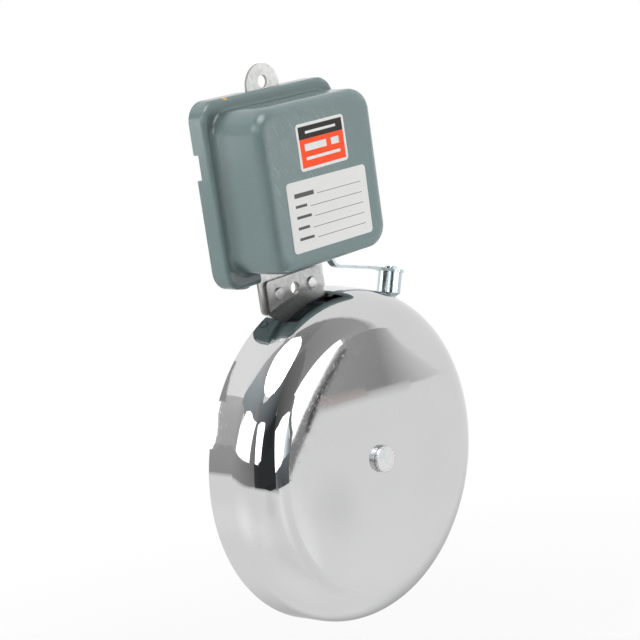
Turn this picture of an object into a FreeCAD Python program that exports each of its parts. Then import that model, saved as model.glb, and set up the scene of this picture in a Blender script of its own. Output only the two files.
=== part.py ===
"""Wall-mounted electric alarm bell with an outside hammer: a pressed steel cover on a base
plate, a laminated magnet with a sprung armature inside, and a 150 mm gong hung below.

Frame: x to the right, y towards the wall, z up, all in millimetres. The origin lies midway
between the two wall-screw holes, on the rear face of the base plate.
"""
import FreeCAD, Part
import math
import os

from FreeCAD import Vector

# ------------------------------------------------------------------ driving dimensions
# Wall fixing
WALL_HOLE_DIAMETER = 5.6
EAR_HOLE_RISE = 3.1           # upper wall hole above the cover
TONGUE_HOLE_DROP = 7.1        # lower wall hole below the cover
STAND_OFF = 4.7               # from the base plate's rear face back to the wall

# Base plate: a shallow tray with an ear above and a tongue below
PLATE_SHEET = 1.2
EAR_WIDTH = 20.0
EAR_RISE = 7.8                # ear's top above the upper wall hole
TONGUE_WIDTH = 41.0
TONGUE_DROP = 8.3             # tongue's lower edge below the lower wall hole
TONGUE_CORNER = 3.0

# Cover: a flange that reaches the wall, with a raised box in front
COVER_SHEET = 1.2
COVER_WIDTH = 82.0
COVER_HEIGHT = 81.8
COVER_CORNER = 9.0
COVER_DEPTH = 35.6            # from the wall to the front face
SKIRT_DEPTH = 9.0             # from the wall to the flange's front face
FLANGE_FLAT = 0.05            # flat left between the flange's two bends at each side
FLANGE_TOP = 5.4              # flange's width above the box
FLANGE_BOTTOM = 5.9           # and below it
BOX_LEAN = 1.85               # how far each side of the box leans in towards its front
BOX_CORNER = 10.0
FLANGE_BEND = 0.8             # inside radius of the flange's front edge
FRONT_BEND = 4.4              # inside radius round the front face
ROOT_BEND = 1.65              # outside radius where the box rises from the flange
TRAY_CLEARANCE = 0.4          # between the cover's skirt and the base plate's folded edges
TONGUE_GAP = 0.9              # each side of the tongue in the cover's bottom cut-out
ARM_NOTCH_ROOM = 4.0          # in front of the hammer arm in the same cut-out
ARM_NOTCH_CORNER = 3.0
CABLE_NOTCH_HEIGHT = 10.8
CABLE_NOTCH_DEPTH = 2.8
CABLE_NOTCH_RISE = 13.5       # above the cover's middle
NOTCH_CLEARANCE = 0.5
LUG_WIDTH = 8.0
LUG_INSET = 17.0              # from the cover's side to the middle of each top lug
LUG_OVERLAP = 0.6             # how far a lug reaches past the tray's folded edge
LUG_GAP = 0.3
COVER_SCREW_INSET = 5.6       # from the bottom cut-out's edge to each screw
COVER_SCREW_DIAMETER = 3.0
COVER_SCREW_HEAD = 5.4
COVER_SCREW_HEAD_HEIGHT = 1.0
COVER_SCREW_SLOT_DEPTH = 0.5
COVER_SCREW_LENGTH = 5.0

# Labels on the cover's front
LABEL_THICKNESS = 0.15
LABEL_CORNER = 1.8
LABEL_GAP = 3.4               # between the two labels
LABELS_DROP = 0.75            # middle of the pair below the box's middle
UPPER_LABEL_WIDTH = 30.0
UPPER_LABEL_HEIGHT = 20.0
UPPER_LABEL_X = 0.4
UPPER_LABEL_TILT = -0.4       # degrees, stuck on slightly out of true
LOWER_LABEL_WIDTH = 50.0
LOWER_LABEL_HEIGHT = 30.0
LOWER_LABEL_X = -0.1
LOWER_LABEL_TILT = 0.6

# Gong and what carries it
GONG_TOP_DROP = 0.85          # gong's upper edge below the lower wall hole
GONG_RADIUS = 75.0
GONG_WALL = 1.5
GONG_DEPTH = 30.9             # from the rim to the middle of the face
SHOULDER_RADIUS = 17.5
SHOULDER_INSET = 18.3         # from the rim's radius in to the centre of the shoulder's arc
DOME_ANGLE = 2.0              # degrees of slope at the edge of the domed face
GONG_RIM_EDGE = 0.4
GONG_GAP = 6.9                # from the bracket's front face to the gong's rim
BRACKET_SHEET = 1.5
BRACKET_WIDTH = 34.8
BRACKET_TOP = 6.5             # bracket's upper edge above the lower wall hole
BRACKET_CORNER = 2.0
BRACKET_RIVET_OFFSET = 10.5
BRACKET_RIVET_DIAMETER = 3.2
BRACKET_RIVET_HEAD = 5.3
RIVET_HEAD_HEIGHT = 1.0
GONG_BOLT_DIAMETER = 6.0
GONG_BOLT_HEAD = 11.8
GONG_BOLT_HEAD_HEIGHT = 1.5
GONG_BOLT_NECK = 0.2          # height of the neck under the head
GONG_BOLT_NECK_INSET = 0.4    # how far the neck lies inside the head's edge
GONG_WASHER_DIAMETER = 12.2
GONG_WASHER_THICKNESS = 0.9
SEAT_WASHER_DIAMETER = 16.0
SEAT_WASHER_THICKNESS = 1.0
SPACER_DIAMETER = 12.0
LOCK_WASHER_THICKNESS = 1.6
LOCK_WASHER_RIM = 0.5         # washer's edge past the nut's flats
LOCK_WASHER_SPLIT = 0.8
LOCK_WASHER_TURN = 35.0       # where the split is, in degrees
GONG_NUT_THICKNESS = 3.2
GONG_NUT_FLATS = 10.0
GONG_BOLT_END = 0.5           # bolt's end past the nut

# Magnet: a U-shaped laminated core with the coil on its lower leg
CORE_THICKNESS = 14.0
CORE_BAR = 10.0               # width of the yoke and of each leg
CORE_SIDE_ROOM = 4.25         # between the yoke and the box's left side
COIL_BELOW_ROOM = 3.1         # between the bobbin and the box's underside
COIL_FRONT_ROOM = 2.3         # between the bobbin and the cover's front
POLE_GAP = 1.0                # between the pole faces and the resting armature
CORE_SCREW_DIAMETER = 4.0
CORE_SCREW_HEAD = 7.0
CORE_SCREW_HEAD_HEIGHT = 2.6
CORE_SPACER_DIAMETER = 8.0
CORE_NUT_THICKNESS = 2.2
CORE_NUT_FLATS = 7.0
CORE_SCREW_END = 0.6          # screw's end past its nut
BOBBIN_WALL = 1.0
BOBBIN_FLANGE = 1.5
BOBBIN_END_ROOM = 2.8         # between the bobbin and the pole face
BOBBIN_CLEARANCE = 0.1
BOBBIN_RIM = 1.0              # flange's edge past the wrap, all round
WINDING_BUILD_Z = 4.1         # depth of wire above and below the leg
WRAP_THICKNESS = 0.5

# Armature on its pivot stud
ARMATURE_THICKNESS = 3.0
ARMATURE_OVERHANG = 1.0       # armature's lower end below the core
PIVOT_ROOM = 6.3              # pivot's middle below the inside of the box's top
HUB_DIAMETER = 9.0
HUB_ROOM = 1.5                # between the hub and the core below it
BUSH_DIAMETER = 6.0
BUSH_OVERHANG = 0.5
STUD_DIAMETER = 4.0
RUNNING_CLEARANCE = 0.04      # radial, between stud and bush
STUD_COLLAR_DIAMETER = 8.0
STUD_TENON_DIAMETER = 3.0
STUD_END_PLAY = 0.2
PEENED_HEAD_DIAMETER = 5.4
PEENED_HEAD_HEIGHT = 0.9
CLIP_THICKNESS = 0.7
CLIP_DIAMETER = 8.0
CLIP_GROOVE_DIAMETER = 3.0
CLIP_MOUTH = 2.4
STUD_TIP = 0.9                # stud's end past the clip

# Hammer arm: a steel strip bent towards the gong, and the hammer riveted under its pad
ARM_THICKNESS = 1.3
ARM_ROOT_WIDTH = 8.0
ARM_WIDTH = 3.6
ARM_NECK = 9.0                # height over which the wide root narrows to the arm's width
ARM_BEND_DROP = 1.1           # from the box's underside to where the arm starts to bend
ARM_BEND_RADIUS = 6.0
ARM_SLOPE = 14.6              # degrees below the horizontal after the bend
ARM_SET_RADIUS = 80.0
PAD_SLOPE = 19.5              # degrees below the horizontal at the hammer
PAD_LENGTH = 8.7              # from the end of the set bend to the hammer's axis
PAD_RADIUS = 6.1
PAD_FLARE_ANGLE = 60.0        # degrees round the pad where its flared neck starts
ARM_RIVET_DROP = 5.0          # upper rivet below the spring's tab
ARM_RIVET_SPACING = 12.0
ARM_RIVET_DIAMETER = 2.6
ARM_RIVET_HEAD = 4.6
HAMMER_DIAMETER = 10.9
HAMMER_LENGTH = 11.5
HAMMER_CHAMFER_ACROSS = 2.4
HAMMER_CHAMFER_ALONG = 1.85
HAMMER_RIVET_DIAMETER = 4.0
HAMMER_RIVET_HEAD = 5.8
HAMMER_RIVET_HEAD_HEIGHT = 1.3
HAMMER_RIVET_DEPTH = 8.0
HAMMER_RIVET_END_GAP = 0.2
HAMMER_GAP = 2.14             # at rest, from the middle of the hammer's face to the gong's skirt

# Return spring between the arm's upper tab and its post
TAB_DROP = 20.0               # tab's underside below the pivot
TAB_HOLE_X = 4.3              # hole's distance from the armature's right face
TAB_HOLE_DIAMETER = 2.0
TAB_END = 2.2                 # from the hole's centre to the tab's end
SPRING_WIRE = 0.7
SPRING_MEAN_RADIUS = 2.2
SPRING_PITCH = 1.0
SPRING_TURNS = 6
SPRING_LOOP_ANGLE = 240.0
SPRING_POST_DIAMETER = 2.5
SPRING_POST_REACH = 4.0       # post's end past the spring's middle plane
SPRING_POST_FOOT = 1.5        # height of the foot on the base plate
POST_FOOT_RIM = 1.0           # a foot's edge past its post
CONTACT_GAP = 0.05

# Back stop for the arm
STOP_DROP = 7.0               # below the arm's lower rivet
STOP_BLOCK_ROOM = 0.7         # between the sleeve and the terminal block
STOP_POST_DIAMETER = 3.0
STOP_SLEEVE_DIAMETER = 6.0
STOP_GAP = 0.1
STOP_REACH = 5.0              # sleeve's end past the arm's middle plane
STOP_SLEEVE_BACK = 2.5        # from the base plate to the sleeve

# Terminals, leads and cable entry
BLOCK_SIDE_ROOM = 1.25        # between the block and the box's right side
BLOCK_BELOW_ROOM = 4.3        # and the box's underside
BLOCK_WIDTH = 13.0
BLOCK_HEIGHT = 27.0
BLOCK_DEPTH = 12.0
BLOCK_RIB = 3.0
BLOCK_MIDDLE_RIB = 6.4
BLOCK_FLOOR = 5.0             # from the block's back to the floor of each terminal bay
INSULATOR_THICKNESS = 0.5
INSULATOR_MARGIN = 0.8
CLAMP_THICKNESS = 1.2
CLAMP_LENGTH = 9.0
CLAMP_GAP = 0.2
TERMINAL_SCREW_DIAMETER = 3.4
TERMINAL_SCREW_HEAD = 6.0
TERMINAL_SCREW_HEAD_HEIGHT = 2.2
TERMINAL_SCREW_LENGTH = 5.0
BLOCK_SCREW_DIAMETER = 3.0
BLOCK_SCREW_HEAD = 5.2
BLOCK_SCREW_HEAD_HEIGHT = 1.9
SCREW_TAIL = 1.8              # screw ends behind the base plate
LEAD_DIAMETER = 1.2
LEAD_BACK = 2.0               # lead's middle in front of the base plate, at the coil
LEAD_STARTS = (7.8, -8.3)     # each lead's height from the coil's middle
LEAD_CLIMBS = (1.8, 1.1)      # each lead's rise where it passes the arm
LEAD_LIFT = 1.2               # how far it comes forward there
LEAD_TURN_BEFORE = 2.8        # from its last bend to the block
GROMMET_SIDE_ROOM = 7.25      # from the box's right side to the grommet's middle
GROMMET_DROP = 11.3           # and from the box's top
GROMMET_HOLE = 9.0
GROMMET_BORE = 6.0
GROMMET_FLANGE = 12.0
GROMMET_LIP = 1.2
EARTH_SIDE_ROOM = 6.25        # from the box's left side to the screw's middle
EARTH_DROP = 5.8              # and from the box's top
EARTH_SCREW_DIAMETER = 4.0
EARTH_SCREW_HEAD = 7.0
EARTH_SCREW_HEAD_HEIGHT = 2.4
EARTH_WASHER_DIAMETER = 9.0
EARTH_WASHER_THICKNESS = 1.0
SLOT_WIDTH = 0.9
SLOT_DEPTH = 0.8
RIVET_ROUNDING = 0.6          # rounded share of a rivet head's height
SCREW_ROUNDING = 0.4          # rounded share of a screw or bolt head's height

# Small gaps
SHANK_GAP = 0.05              # radial, between a fixed shank and its hole
HOLE_CLEARANCE = 0.2          # radial, where a screw passes through freely
CUT = 1.0                     # how far a cutting shape runs past the surface it opens

# ------------------------------------------------------------------ places worked out
WALL_Y = STAND_OFF
PLATE_FRONT = -PLATE_SHEET
BRACKET_FRONT = PLATE_FRONT - BRACKET_SHEET
WALL_HOLE_SPACING = EAR_HOLE_RISE + COVER_HEIGHT + TONGUE_HOLE_DROP
UPPER_HOLE_Z = WALL_HOLE_SPACING / 2
LOWER_HOLE_Z = -WALL_HOLE_SPACING / 2

FLANGE_FRONT = WALL_Y - SKIRT_DEPTH
COVER_FRONT = WALL_Y - COVER_DEPTH
COVER_TOP = UPPER_HOLE_Z - EAR_HOLE_RISE
COVER_BOTTOM = LOWER_HOLE_Z + TONGUE_HOLE_DROP
COVER_CENTRE_Z = (COVER_TOP + COVER_BOTTOM) / 2
FLANGE_SIDE = FLANGE_BEND + COVER_SHEET + FLANGE_FLAT + ROOT_BEND
BOX_WIDTH = COVER_WIDTH - 2 * FLANGE_SIDE
BOX_FRONT_WIDTH = BOX_WIDTH - 2 * BOX_LEAN
BOX_TOP = COVER_TOP - FLANGE_TOP
BOX_BOTTOM = COVER_BOTTOM + FLANGE_BOTTOM
BOX_HEIGHT = BOX_TOP - BOX_BOTTOM
BOX_CENTRE_Z = (BOX_TOP + BOX_BOTTOM) / 2
LABELS_HALF = (UPPER_LABEL_HEIGHT + LABEL_GAP + LOWER_LABEL_HEIGHT) / 2
LABELS_MIDDLE_Z = BOX_CENTRE_Z - LABELS_DROP
UPPER_LABEL_Z = LABELS_MIDDLE_Z + LABELS_HALF - UPPER_LABEL_HEIGHT / 2
LOWER_LABEL_Z = LABELS_MIDDLE_Z - LABELS_HALF + LOWER_LABEL_HEIGHT / 2
ARM_NOTCH_WIDTH = TONGUE_WIDTH + 2 * TONGUE_GAP
CABLE_NOTCH_Z = COVER_CENTRE_Z + CABLE_NOTCH_RISE
LUG_OFFSET = COVER_WIDTH / 2 - LUG_INSET
COVER_SCREW_OFFSET = ARM_NOTCH_WIDTH / 2 + COVER_SCREW_INSET
TRAY_INSET = COVER_SHEET + TRAY_CLEARANCE
TRAY_WIDTH = COVER_WIDTH - 2 * TRAY_INSET
TRAY_HEIGHT = COVER_HEIGHT - 2 * TRAY_INSET
TRAY_TOP = COVER_TOP - TRAY_INSET
TRAY_BOTTOM = COVER_BOTTOM + TRAY_INSET

GONG_Z = LOWER_HOLE_Z - GONG_TOP_DROP - GONG_RADIUS
GONG_RIM = BRACKET_FRONT - GONG_GAP

# The room inside the box, where its sides are nearest
ROOM_SIDE = BOX_FRONT_WIDTH / 2 - COVER_SHEET
ROOM_TOP = BOX_TOP - COVER_SHEET
ROOM_BOTTOM = BOX_BOTTOM + COVER_SHEET
ROOM_FRONT = COVER_FRONT + COVER_SHEET

BOBBIN_TUBE = BOBBIN_CLEARANCE + BOBBIN_WALL
BOBBIN_EDGE = WRAP_THICKNESS + BOBBIN_RIM
BOBBIN_HALF_Y = (PLATE_FRONT - ROOM_FRONT - COIL_FRONT_ROOM) / 2
BOBBIN_HALF_Z = CORE_BAR / 2 + BOBBIN_TUBE + WINDING_BUILD_Z + BOBBIN_EDGE
WINDING_BUILD_Y = BOBBIN_HALF_Y - CORE_THICKNESS / 2 - BOBBIN_TUBE - BOBBIN_EDGE
MIDDLE_Y = PLATE_FRONT - BOBBIN_HALF_Y

BLOCK_LEFT = ROOM_SIDE - BLOCK_SIDE_ROOM - BLOCK_WIDTH
BLOCK_BOTTOM = ROOM_BOTTOM + BLOCK_BELOW_ROOM
STOP_X = BLOCK_LEFT - STOP_BLOCK_ROOM - STOP_SLEEVE_DIAMETER / 2
ARM_RIGHT = STOP_X - STOP_SLEEVE_DIAMETER / 2 - STOP_GAP
ARMATURE_RIGHT = ARM_RIGHT - ARM_THICKNESS
ARM_X = ARM_RIGHT - ARM_THICKNESS / 2
ARMATURE_LEFT = ARMATURE_RIGHT - ARMATURE_THICKNESS
POLE_X = ARMATURE_LEFT - POLE_GAP

PIVOT_X = (ARMATURE_LEFT + ARMATURE_RIGHT) / 2
PIVOT_Z = ROOM_TOP - PIVOT_ROOM
CORE_TOP = PIVOT_Z - HUB_DIAMETER / 2 - HUB_ROOM
COIL_LEG_Z = ROOM_BOTTOM + COIL_BELOW_ROOM + BOBBIN_HALF_Z
CORE_BOTTOM = COIL_LEG_Z - CORE_BAR / 2
CORE_LEFT = -ROOM_SIDE + CORE_SIDE_ROOM
CORE_BACK = MIDDLE_Y + CORE_THICKNESS / 2
CORE_FRONT = MIDDLE_Y - CORE_THICKNESS / 2
YOKE_MIDDLE_X = CORE_LEFT + CORE_BAR / 2
CORE_SCREW_Z = (CORE_TOP - CORE_BAR / 2, COIL_LEG_Z)
BOBBIN_LEFT = CORE_LEFT + CORE_BAR + BOBBIN_CLEARANCE
BOBBIN_RIGHT = POLE_X - BOBBIN_END_ROOM

ARMATURE_WIDTH = CORE_THICKNESS
ARMATURE_BOTTOM = CORE_BOTTOM - ARMATURE_OVERHANG
BUSH_BACK = MIDDLE_Y + ARMATURE_WIDTH / 2 + BUSH_OVERHANG
BUSH_FRONT = MIDDLE_Y - ARMATURE_WIDTH / 2 - BUSH_OVERHANG
COLLAR_FRONT = BUSH_BACK + STUD_END_PLAY
CLIP_BACK = BUSH_FRONT - STUD_END_PLAY

TAB_Z = PIVOT_Z - TAB_DROP
TAB_TOP = TAB_Z + ARM_THICKNESS
ARM_RIVET_Z = (TAB_Z - ARM_RIVET_DROP, TAB_Z - ARM_RIVET_DROP - ARM_RIVET_SPACING)
ARM_ROOT_BOTTOM = CORE_BOTTOM
ARM_NECK_Z = ARM_ROOT_BOTTOM - ARM_NECK
ARM_BEND_Z = BOX_BOTTOM - ARM_BEND_DROP
ARM_NOTCH_FRONT = MIDDLE_Y - ARM_ROOT_WIDTH / 2 - ARM_NOTCH_ROOM
STOP_Z = ARM_RIVET_Z[1] - STOP_DROP

SPRING_Z = TAB_Z + ARM_THICKNESS / 2
TAB_HOLE_CENTRE_X = ARMATURE_RIGHT + TAB_HOLE_X
LOOP_INSIDE = SPRING_MEAN_RADIUS - SPRING_WIRE / 2
TAB_HOLE_RIGHT = TAB_HOLE_CENTRE_X + TAB_HOLE_DIAMETER / 2
LEFT_LOOP_X = (TAB_HOLE_RIGHT - CONTACT_GAP
               + math.sqrt(LOOP_INSIDE ** 2 - (ARM_THICKNESS / 2) ** 2))
COIL_START_X = LEFT_LOOP_X + SPRING_MEAN_RADIUS
COIL_END_X = COIL_START_X + SPRING_PITCH * SPRING_TURNS
RIGHT_LOOP_X = COIL_END_X + SPRING_MEAN_RADIUS
SPRING_POST_X = RIGHT_LOOP_X + LOOP_INSIDE - CONTACT_GAP - SPRING_POST_DIAMETER / 2

BLOCK_BACK = PLATE_FRONT - INSULATOR_THICKNESS
BLOCK_FRONT = BLOCK_BACK - BLOCK_DEPTH
BLOCK_MIDDLE_X = BLOCK_LEFT + BLOCK_WIDTH / 2
BLOCK_MIDDLE_Z = BLOCK_BOTTOM + BLOCK_HEIGHT / 2
BAY_HEIGHT = (BLOCK_HEIGHT - 2 * BLOCK_RIB - BLOCK_MIDDLE_RIB) / 2
BAY_FLOOR_Y = BLOCK_BACK - BLOCK_FLOOR
BAY_OFFSET = (BLOCK_MIDDLE_RIB + BAY_HEIGHT) / 2
BAY_Z = (BLOCK_MIDDLE_Z + BAY_OFFSET, BLOCK_MIDDLE_Z - BAY_OFFSET)
GROMMET_X = ROOM_SIDE - GROMMET_SIDE_ROOM
GROMMET_Z = ROOM_TOP - GROMMET_DROP
EARTH_X = -ROOM_SIDE + EARTH_SIDE_ROOM
EARTH_Z = ROOM_TOP - EARTH_DROP


# ------------------------------------------------------------------ shape helpers
def block(x_range, y_range, z_range):
    """A rectangular block between two limits along each axis."""
    x0, x1 = sorted(x_range)
    y0, y1 = sorted(y_range)
    z0, z1 = sorted(z_range)
    return Part.makeBox(x1 - x0, y1 - y0, z1 - z0, Vector(x0, y0, z0))


def disc(x, z, diameter, y_back, y_front):
    """A cylinder along y."""
    return Part.makeCylinder(diameter / 2, y_back - y_front, Vector(x, y_back, z), Vector(0, -1, 0))


def ring(x, z, outer, inner, y_back, y_front):
    """A tube or washer along y."""
    hole = disc(x, z, inner, y_back + CUT, y_front - CUT)
    return disc(x, z, outer, y_back, y_front).cut(hole)


def prism_y(points, y_back, y_front):
    """A straight-sided outline of (x, z) points, given depth along y."""
    corners = [Vector(x, y_back, z) for x, z in points]
    outline = Part.makePolygon(corners + corners[:1])
    return Part.Face(outline).extrude(Vector(0, y_front - y_back, 0))


def hexagon(x, z, flats, y_back, y_front):
    """A hexagonal prism along y, measured across its flats."""
    radius = flats / math.sqrt(3)
    angles = [math.radians(60 * step) for step in range(6)]
    points = [(x + radius * math.cos(a), z + radius * math.sin(a)) for a in angles]
    return prism_y(points, y_back, y_front)


def rounded_block(width, height, centre_z, corner, y_back, y_front, centre_x=0.0):
    """A rectangular block along y whose four long edges are rounded."""
    half_width, half_height = width / 2, height / 2
    solid = block((centre_x - half_width, centre_x + half_width), (y_back, y_front),
                  (centre_z - half_height, centre_z + half_height))
    return solid.makeFillet(corner, edges_where(solid, lambda e: along(e, Vector(0, 1, 0))))


def edges_to_wire(edges):
    """One wire through a loop of edges."""
    return Part.Wire(Part.__sortEdges__(edges))


def along(edge, direction):
    """Whether a straight edge runs along a direction."""
    if not isinstance(edge.Curve, Part.Line):
        return False
    return edge.Curve.Direction.cross(direction).Length < 1e-6


def edges_where(shape, test):
    """The edges of a shape that pass a test."""
    return [edge for edge in shape.Edges if test(edge)]


def at_y(edge, y):
    """Whether a whole edge lies in one plane across y."""
    limits = edge.BoundBox
    return abs(limits.YMin - y) < 1e-4 and abs(limits.YMax - y) < 1e-4


def domed_head(x, z, diameter, y_seat, height, outwards=-1):
    """A low rivet head with a rounded edge, standing off a surface across y."""
    y_top = y_seat + outwards * height
    head = disc(x, z, diameter, max(y_seat, y_top), min(y_seat, y_top))
    return head.makeFillet(height * RIVET_ROUNDING, edges_where(head, lambda e: at_y(e, y_top)))


def slotted_screw(x, z, seat_y, head, head_height, shank, length, slot_depth=SLOT_DEPTH):
    """A pan-head screw along y, its head in front of the seat, with a screwdriver slot."""
    top_y = seat_y - head_height
    cap = disc(x, z, head, seat_y, top_y)
    cap = cap.makeFillet(head_height * SCREW_ROUNDING, edges_where(cap, lambda e: at_y(e, top_y)))
    slot = block((x - head, x + head), (top_y - CUT, top_y + slot_depth),
                 (z - SLOT_WIDTH / 2, z + SLOT_WIDTH / 2))
    return cap.cut(slot).fuse(disc(x, z, shank, seat_y + length, seat_y))


def nut(x, z, flats, bore, y_back, y_front):
    """A plain hexagon nut along y."""
    return hexagon(x, z, flats, y_back, y_front).cut(disc(x, z, bore, y_back + CUT, y_front - CUT))


def bent_band(start, heading, moves, thickness):
    """The side outline in the xz plane of a strip that follows straight runs and bends.

    Each move is (length, 0) for a straight run or (radius, turn in degrees) for a bend.
    Returns the outline as a face, and the middle line's end point and heading.
    """
    def left_of(angle):
        return Vector(-math.sin(math.radians(angle)), 0, math.cos(math.radians(angle)))

    def ahead(angle):
        return Vector(math.cos(math.radians(angle)), 0, math.sin(math.radians(angle)))

    point = Vector(start[0], 0, start[1])
    sides = {+1: [], -1: []}
    first = {side: point + left_of(heading) * (side * thickness / 2) for side in sides}
    for size, turn in moves:
        if turn == 0:
            end = point + ahead(heading) * size
            for side, edges in sides.items():
                shift = left_of(heading) * (side * thickness / 2)
                edges.append(Part.makeLine(point + shift, end + shift))
        else:
            towards = math.copysign(1, turn)
            centre = point + left_of(heading) * (towards * size)
            for side, edges in sides.items():
                reach = side * thickness / 2 - towards * size
                arc = [centre + left_of(heading + turn * part) * reach for part in (0, 0.5, 1)]
                edges.append(Part.Arc(*arc).toShape())
            end = centre - left_of(heading + turn) * (towards * size)
            heading += turn
        point = end
    last = {side: point + left_of(heading) * (side * thickness / 2) for side in sides}
    caps = [Part.makeLine(first[1], first[-1]), Part.makeLine(last[1], last[-1])]
    return Part.Face(edges_to_wire(sides[1] + sides[-1] + caps)), point, heading


def rounded_route(points, diameter):
    """A round lead along straight runs joined by tangent arcs, and its smallest bend radius."""
    corners = [Vector(*point) for point in points]
    runs = [(b - a).Length for a, b in zip(corners, corners[1:])]
    edges, radii = [], []
    here = corners[0]
    for index in range(1, len(corners) - 1):
        before = (corners[index - 1] - corners[index]).normalize()
        after = (corners[index + 1] - corners[index]).normalize()
        turn = math.pi - before.getAngle(after)
        setback = 0.45 * min(runs[index - 1], runs[index])
        radius = setback / math.tan(turn / 2)
        start, end = corners[index] + before * setback, corners[index] + after * setback
        bisector = (before + after).normalize()
        middle = corners[index] + bisector * (radius / math.cos(turn / 2) - radius)
        edges += [Part.makeLine(here, start), Part.Arc(start, middle, end).toShape()]
        radii.append(radius)
        here = end
    edges.append(Part.makeLine(here, corners[-1]))
    path = Part.Wire(edges)
    circle = Part.makeCircle(diameter / 2, corners[0], corners[1] - corners[0])
    return path.makePipeShell([Part.Wire(circle)], True, True), min(radii)


# ------------------------------------------------------------------ base plate
def plate_holes():
    """Every round hole through the base plate: (x, z, diameter)."""
    holes = [(0, z, WALL_HOLE_DIAMETER) for z in (UPPER_HOLE_Z, LOWER_HOLE_Z)]
    holes += [(x, LOWER_HOLE_Z, BRACKET_RIVET_DIAMETER + 2 * SHANK_GAP)
              for x in (-BRACKET_RIVET_OFFSET, BRACKET_RIVET_OFFSET)]
    holes += [(YOKE_MIDDLE_X, z, CORE_SCREW_DIAMETER + 2 * HOLE_CLEARANCE) for z in CORE_SCREW_Z]
    holes += [(x, z, STUD_TENON_DIAMETER + 2 * SHANK_GAP)
              for x, z in ((PIVOT_X, PIVOT_Z), (STOP_X, STOP_Z), (SPRING_POST_X, SPRING_Z))]
    holes.append((BLOCK_MIDDLE_X, BLOCK_MIDDLE_Z, BLOCK_SCREW_DIAMETER + 2 * SHANK_GAP))
    holes.append((EARTH_X, EARTH_Z, EARTH_SCREW_DIAMETER + 2 * SHANK_GAP))
    holes.append((GROMMET_X, GROMMET_Z, GROMMET_HOLE))
    return holes


def base_plate():
    """The tray that everything is fixed to, with its edges folded back to the wall."""
    corner = COVER_CORNER - TRAY_INSET
    tray = rounded_block(TRAY_WIDTH, TRAY_HEIGHT, COVER_CENTRE_Z, corner, WALL_Y, PLATE_FRONT)
    hollow = rounded_block(TRAY_WIDTH - 2 * PLATE_SHEET, TRAY_HEIGHT - 2 * PLATE_SHEET,
                           COVER_CENTRE_Z, corner - PLATE_SHEET, WALL_Y + CUT, 0)
    tray = tray.cut(hollow)

    # The folded edge stops either side of the ear and of the tongue, lets the cable in at
    # both sides, and is lower along the top, where the cover's lugs hook behind it.
    behind = (0, WALL_Y + CUT)
    half_tongue = TONGUE_WIDTH / 2 + NOTCH_CLEARANCE
    half_ear = EAR_WIDTH / 2 + NOTCH_CLEARANCE
    lower_fold = (TRAY_BOTTOM - CUT, TRAY_BOTTOM + PLATE_SHEET + CUT)
    upper_fold = (TRAY_TOP - PLATE_SHEET - CUT, TRAY_TOP + CUT)
    tray = tray.cut(block((-half_tongue, half_tongue), behind, lower_fold))
    tray = tray.cut(block((-half_ear, half_ear), behind, upper_fold))
    half_notch = CABLE_NOTCH_HEIGHT / 2 + NOTCH_CLEARANCE
    cable_gap = (CABLE_NOTCH_Z - half_notch, CABLE_NOTCH_Z + half_notch)
    tray = tray.cut(block((-COVER_WIDTH, COVER_WIDTH),
                          (WALL_Y - CABLE_NOTCH_DEPTH - NOTCH_CLEARANCE, WALL_Y + CUT), cable_gap))
    lug_room = LUG_OFFSET + LUG_WIDTH / 2 + NOTCH_CLEARANCE
    tray = tray.cut(block((-lug_room, lug_room), (WALL_Y - COVER_SHEET - LUG_GAP, WALL_Y + CUT),
                          upper_fold))

    ear_top = UPPER_HOLE_Z + EAR_RISE
    ear_centre = ear_top - EAR_WIDTH / 2
    ear = block((-EAR_WIDTH / 2, EAR_WIDTH / 2), (0, PLATE_FRONT), (TRAY_TOP - CUT, ear_centre))
    ear = ear.fuse(disc(0, ear_centre, EAR_WIDTH, 0, PLATE_FRONT))
    ear = ear.cut(block((-EAR_WIDTH, EAR_WIDTH), (CUT, PLATE_FRONT - CUT),
                        (TRAY_TOP - 2 * EAR_WIDTH, TRAY_TOP - CUT)))
    tongue_bottom = LOWER_HOLE_Z - TONGUE_DROP
    tongue_height = 2 * (TRAY_BOTTOM + CUT - tongue_bottom)
    tongue = rounded_block(TONGUE_WIDTH, tongue_height, tongue_bottom + tongue_height / 2,
                           TONGUE_CORNER, 0, PLATE_FRONT)
    tongue = tongue.cut(block((-TONGUE_WIDTH, TONGUE_WIDTH), (CUT, PLATE_FRONT - CUT),
                              (TRAY_BOTTOM + CUT, TRAY_TOP)))
    plate = tray.fuse([ear, tongue]).removeSplitter()

    cutters = [disc(x, z, size, CUT, PLATE_FRONT - CUT) for x, z, size in plate_holes()]
    cutters += [Part.makeCylinder(COVER_SCREW_DIAMETER / 2 + SHANK_GAP, PLATE_SHEET + 2 * CUT,
                                  Vector(x, cover_screw_y(), TRAY_BOTTOM - CUT))
                for x in (-COVER_SCREW_OFFSET, COVER_SCREW_OFFSET)]
    return plate.cut(cutters)


# ------------------------------------------------------------------ cover
def box_form(inset, back, front):
    """The raised box, whose sides lean in a little towards the front."""
    lean = (BOX_WIDTH - BOX_FRONT_WIDTH) / 2 / (FLANGE_FRONT - COVER_FRONT)
    half_back = BOX_WIDTH / 2 - inset + lean * (back - FLANGE_FRONT)
    half_front = BOX_WIDTH / 2 - inset + lean * (front - FLANGE_FRONT)
    bottom = BOX_CENTRE_Z - BOX_HEIGHT / 2 + inset
    corners = [Vector(x, y, bottom) for x, y in ((-half_back, back), (half_back, back),
                                                 (half_front, front), (-half_front, front))]
    plan = Part.Face(Part.makePolygon(corners + corners[:1]))
    box = plan.extrude(Vector(0, 0, BOX_HEIGHT - 2 * inset))
    long_edges = edges_where(box, lambda e: e.BoundBox.YLength > (back - front) / 2)
    return box.makeFillet(BOX_CORNER - inset, long_edges)


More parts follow.
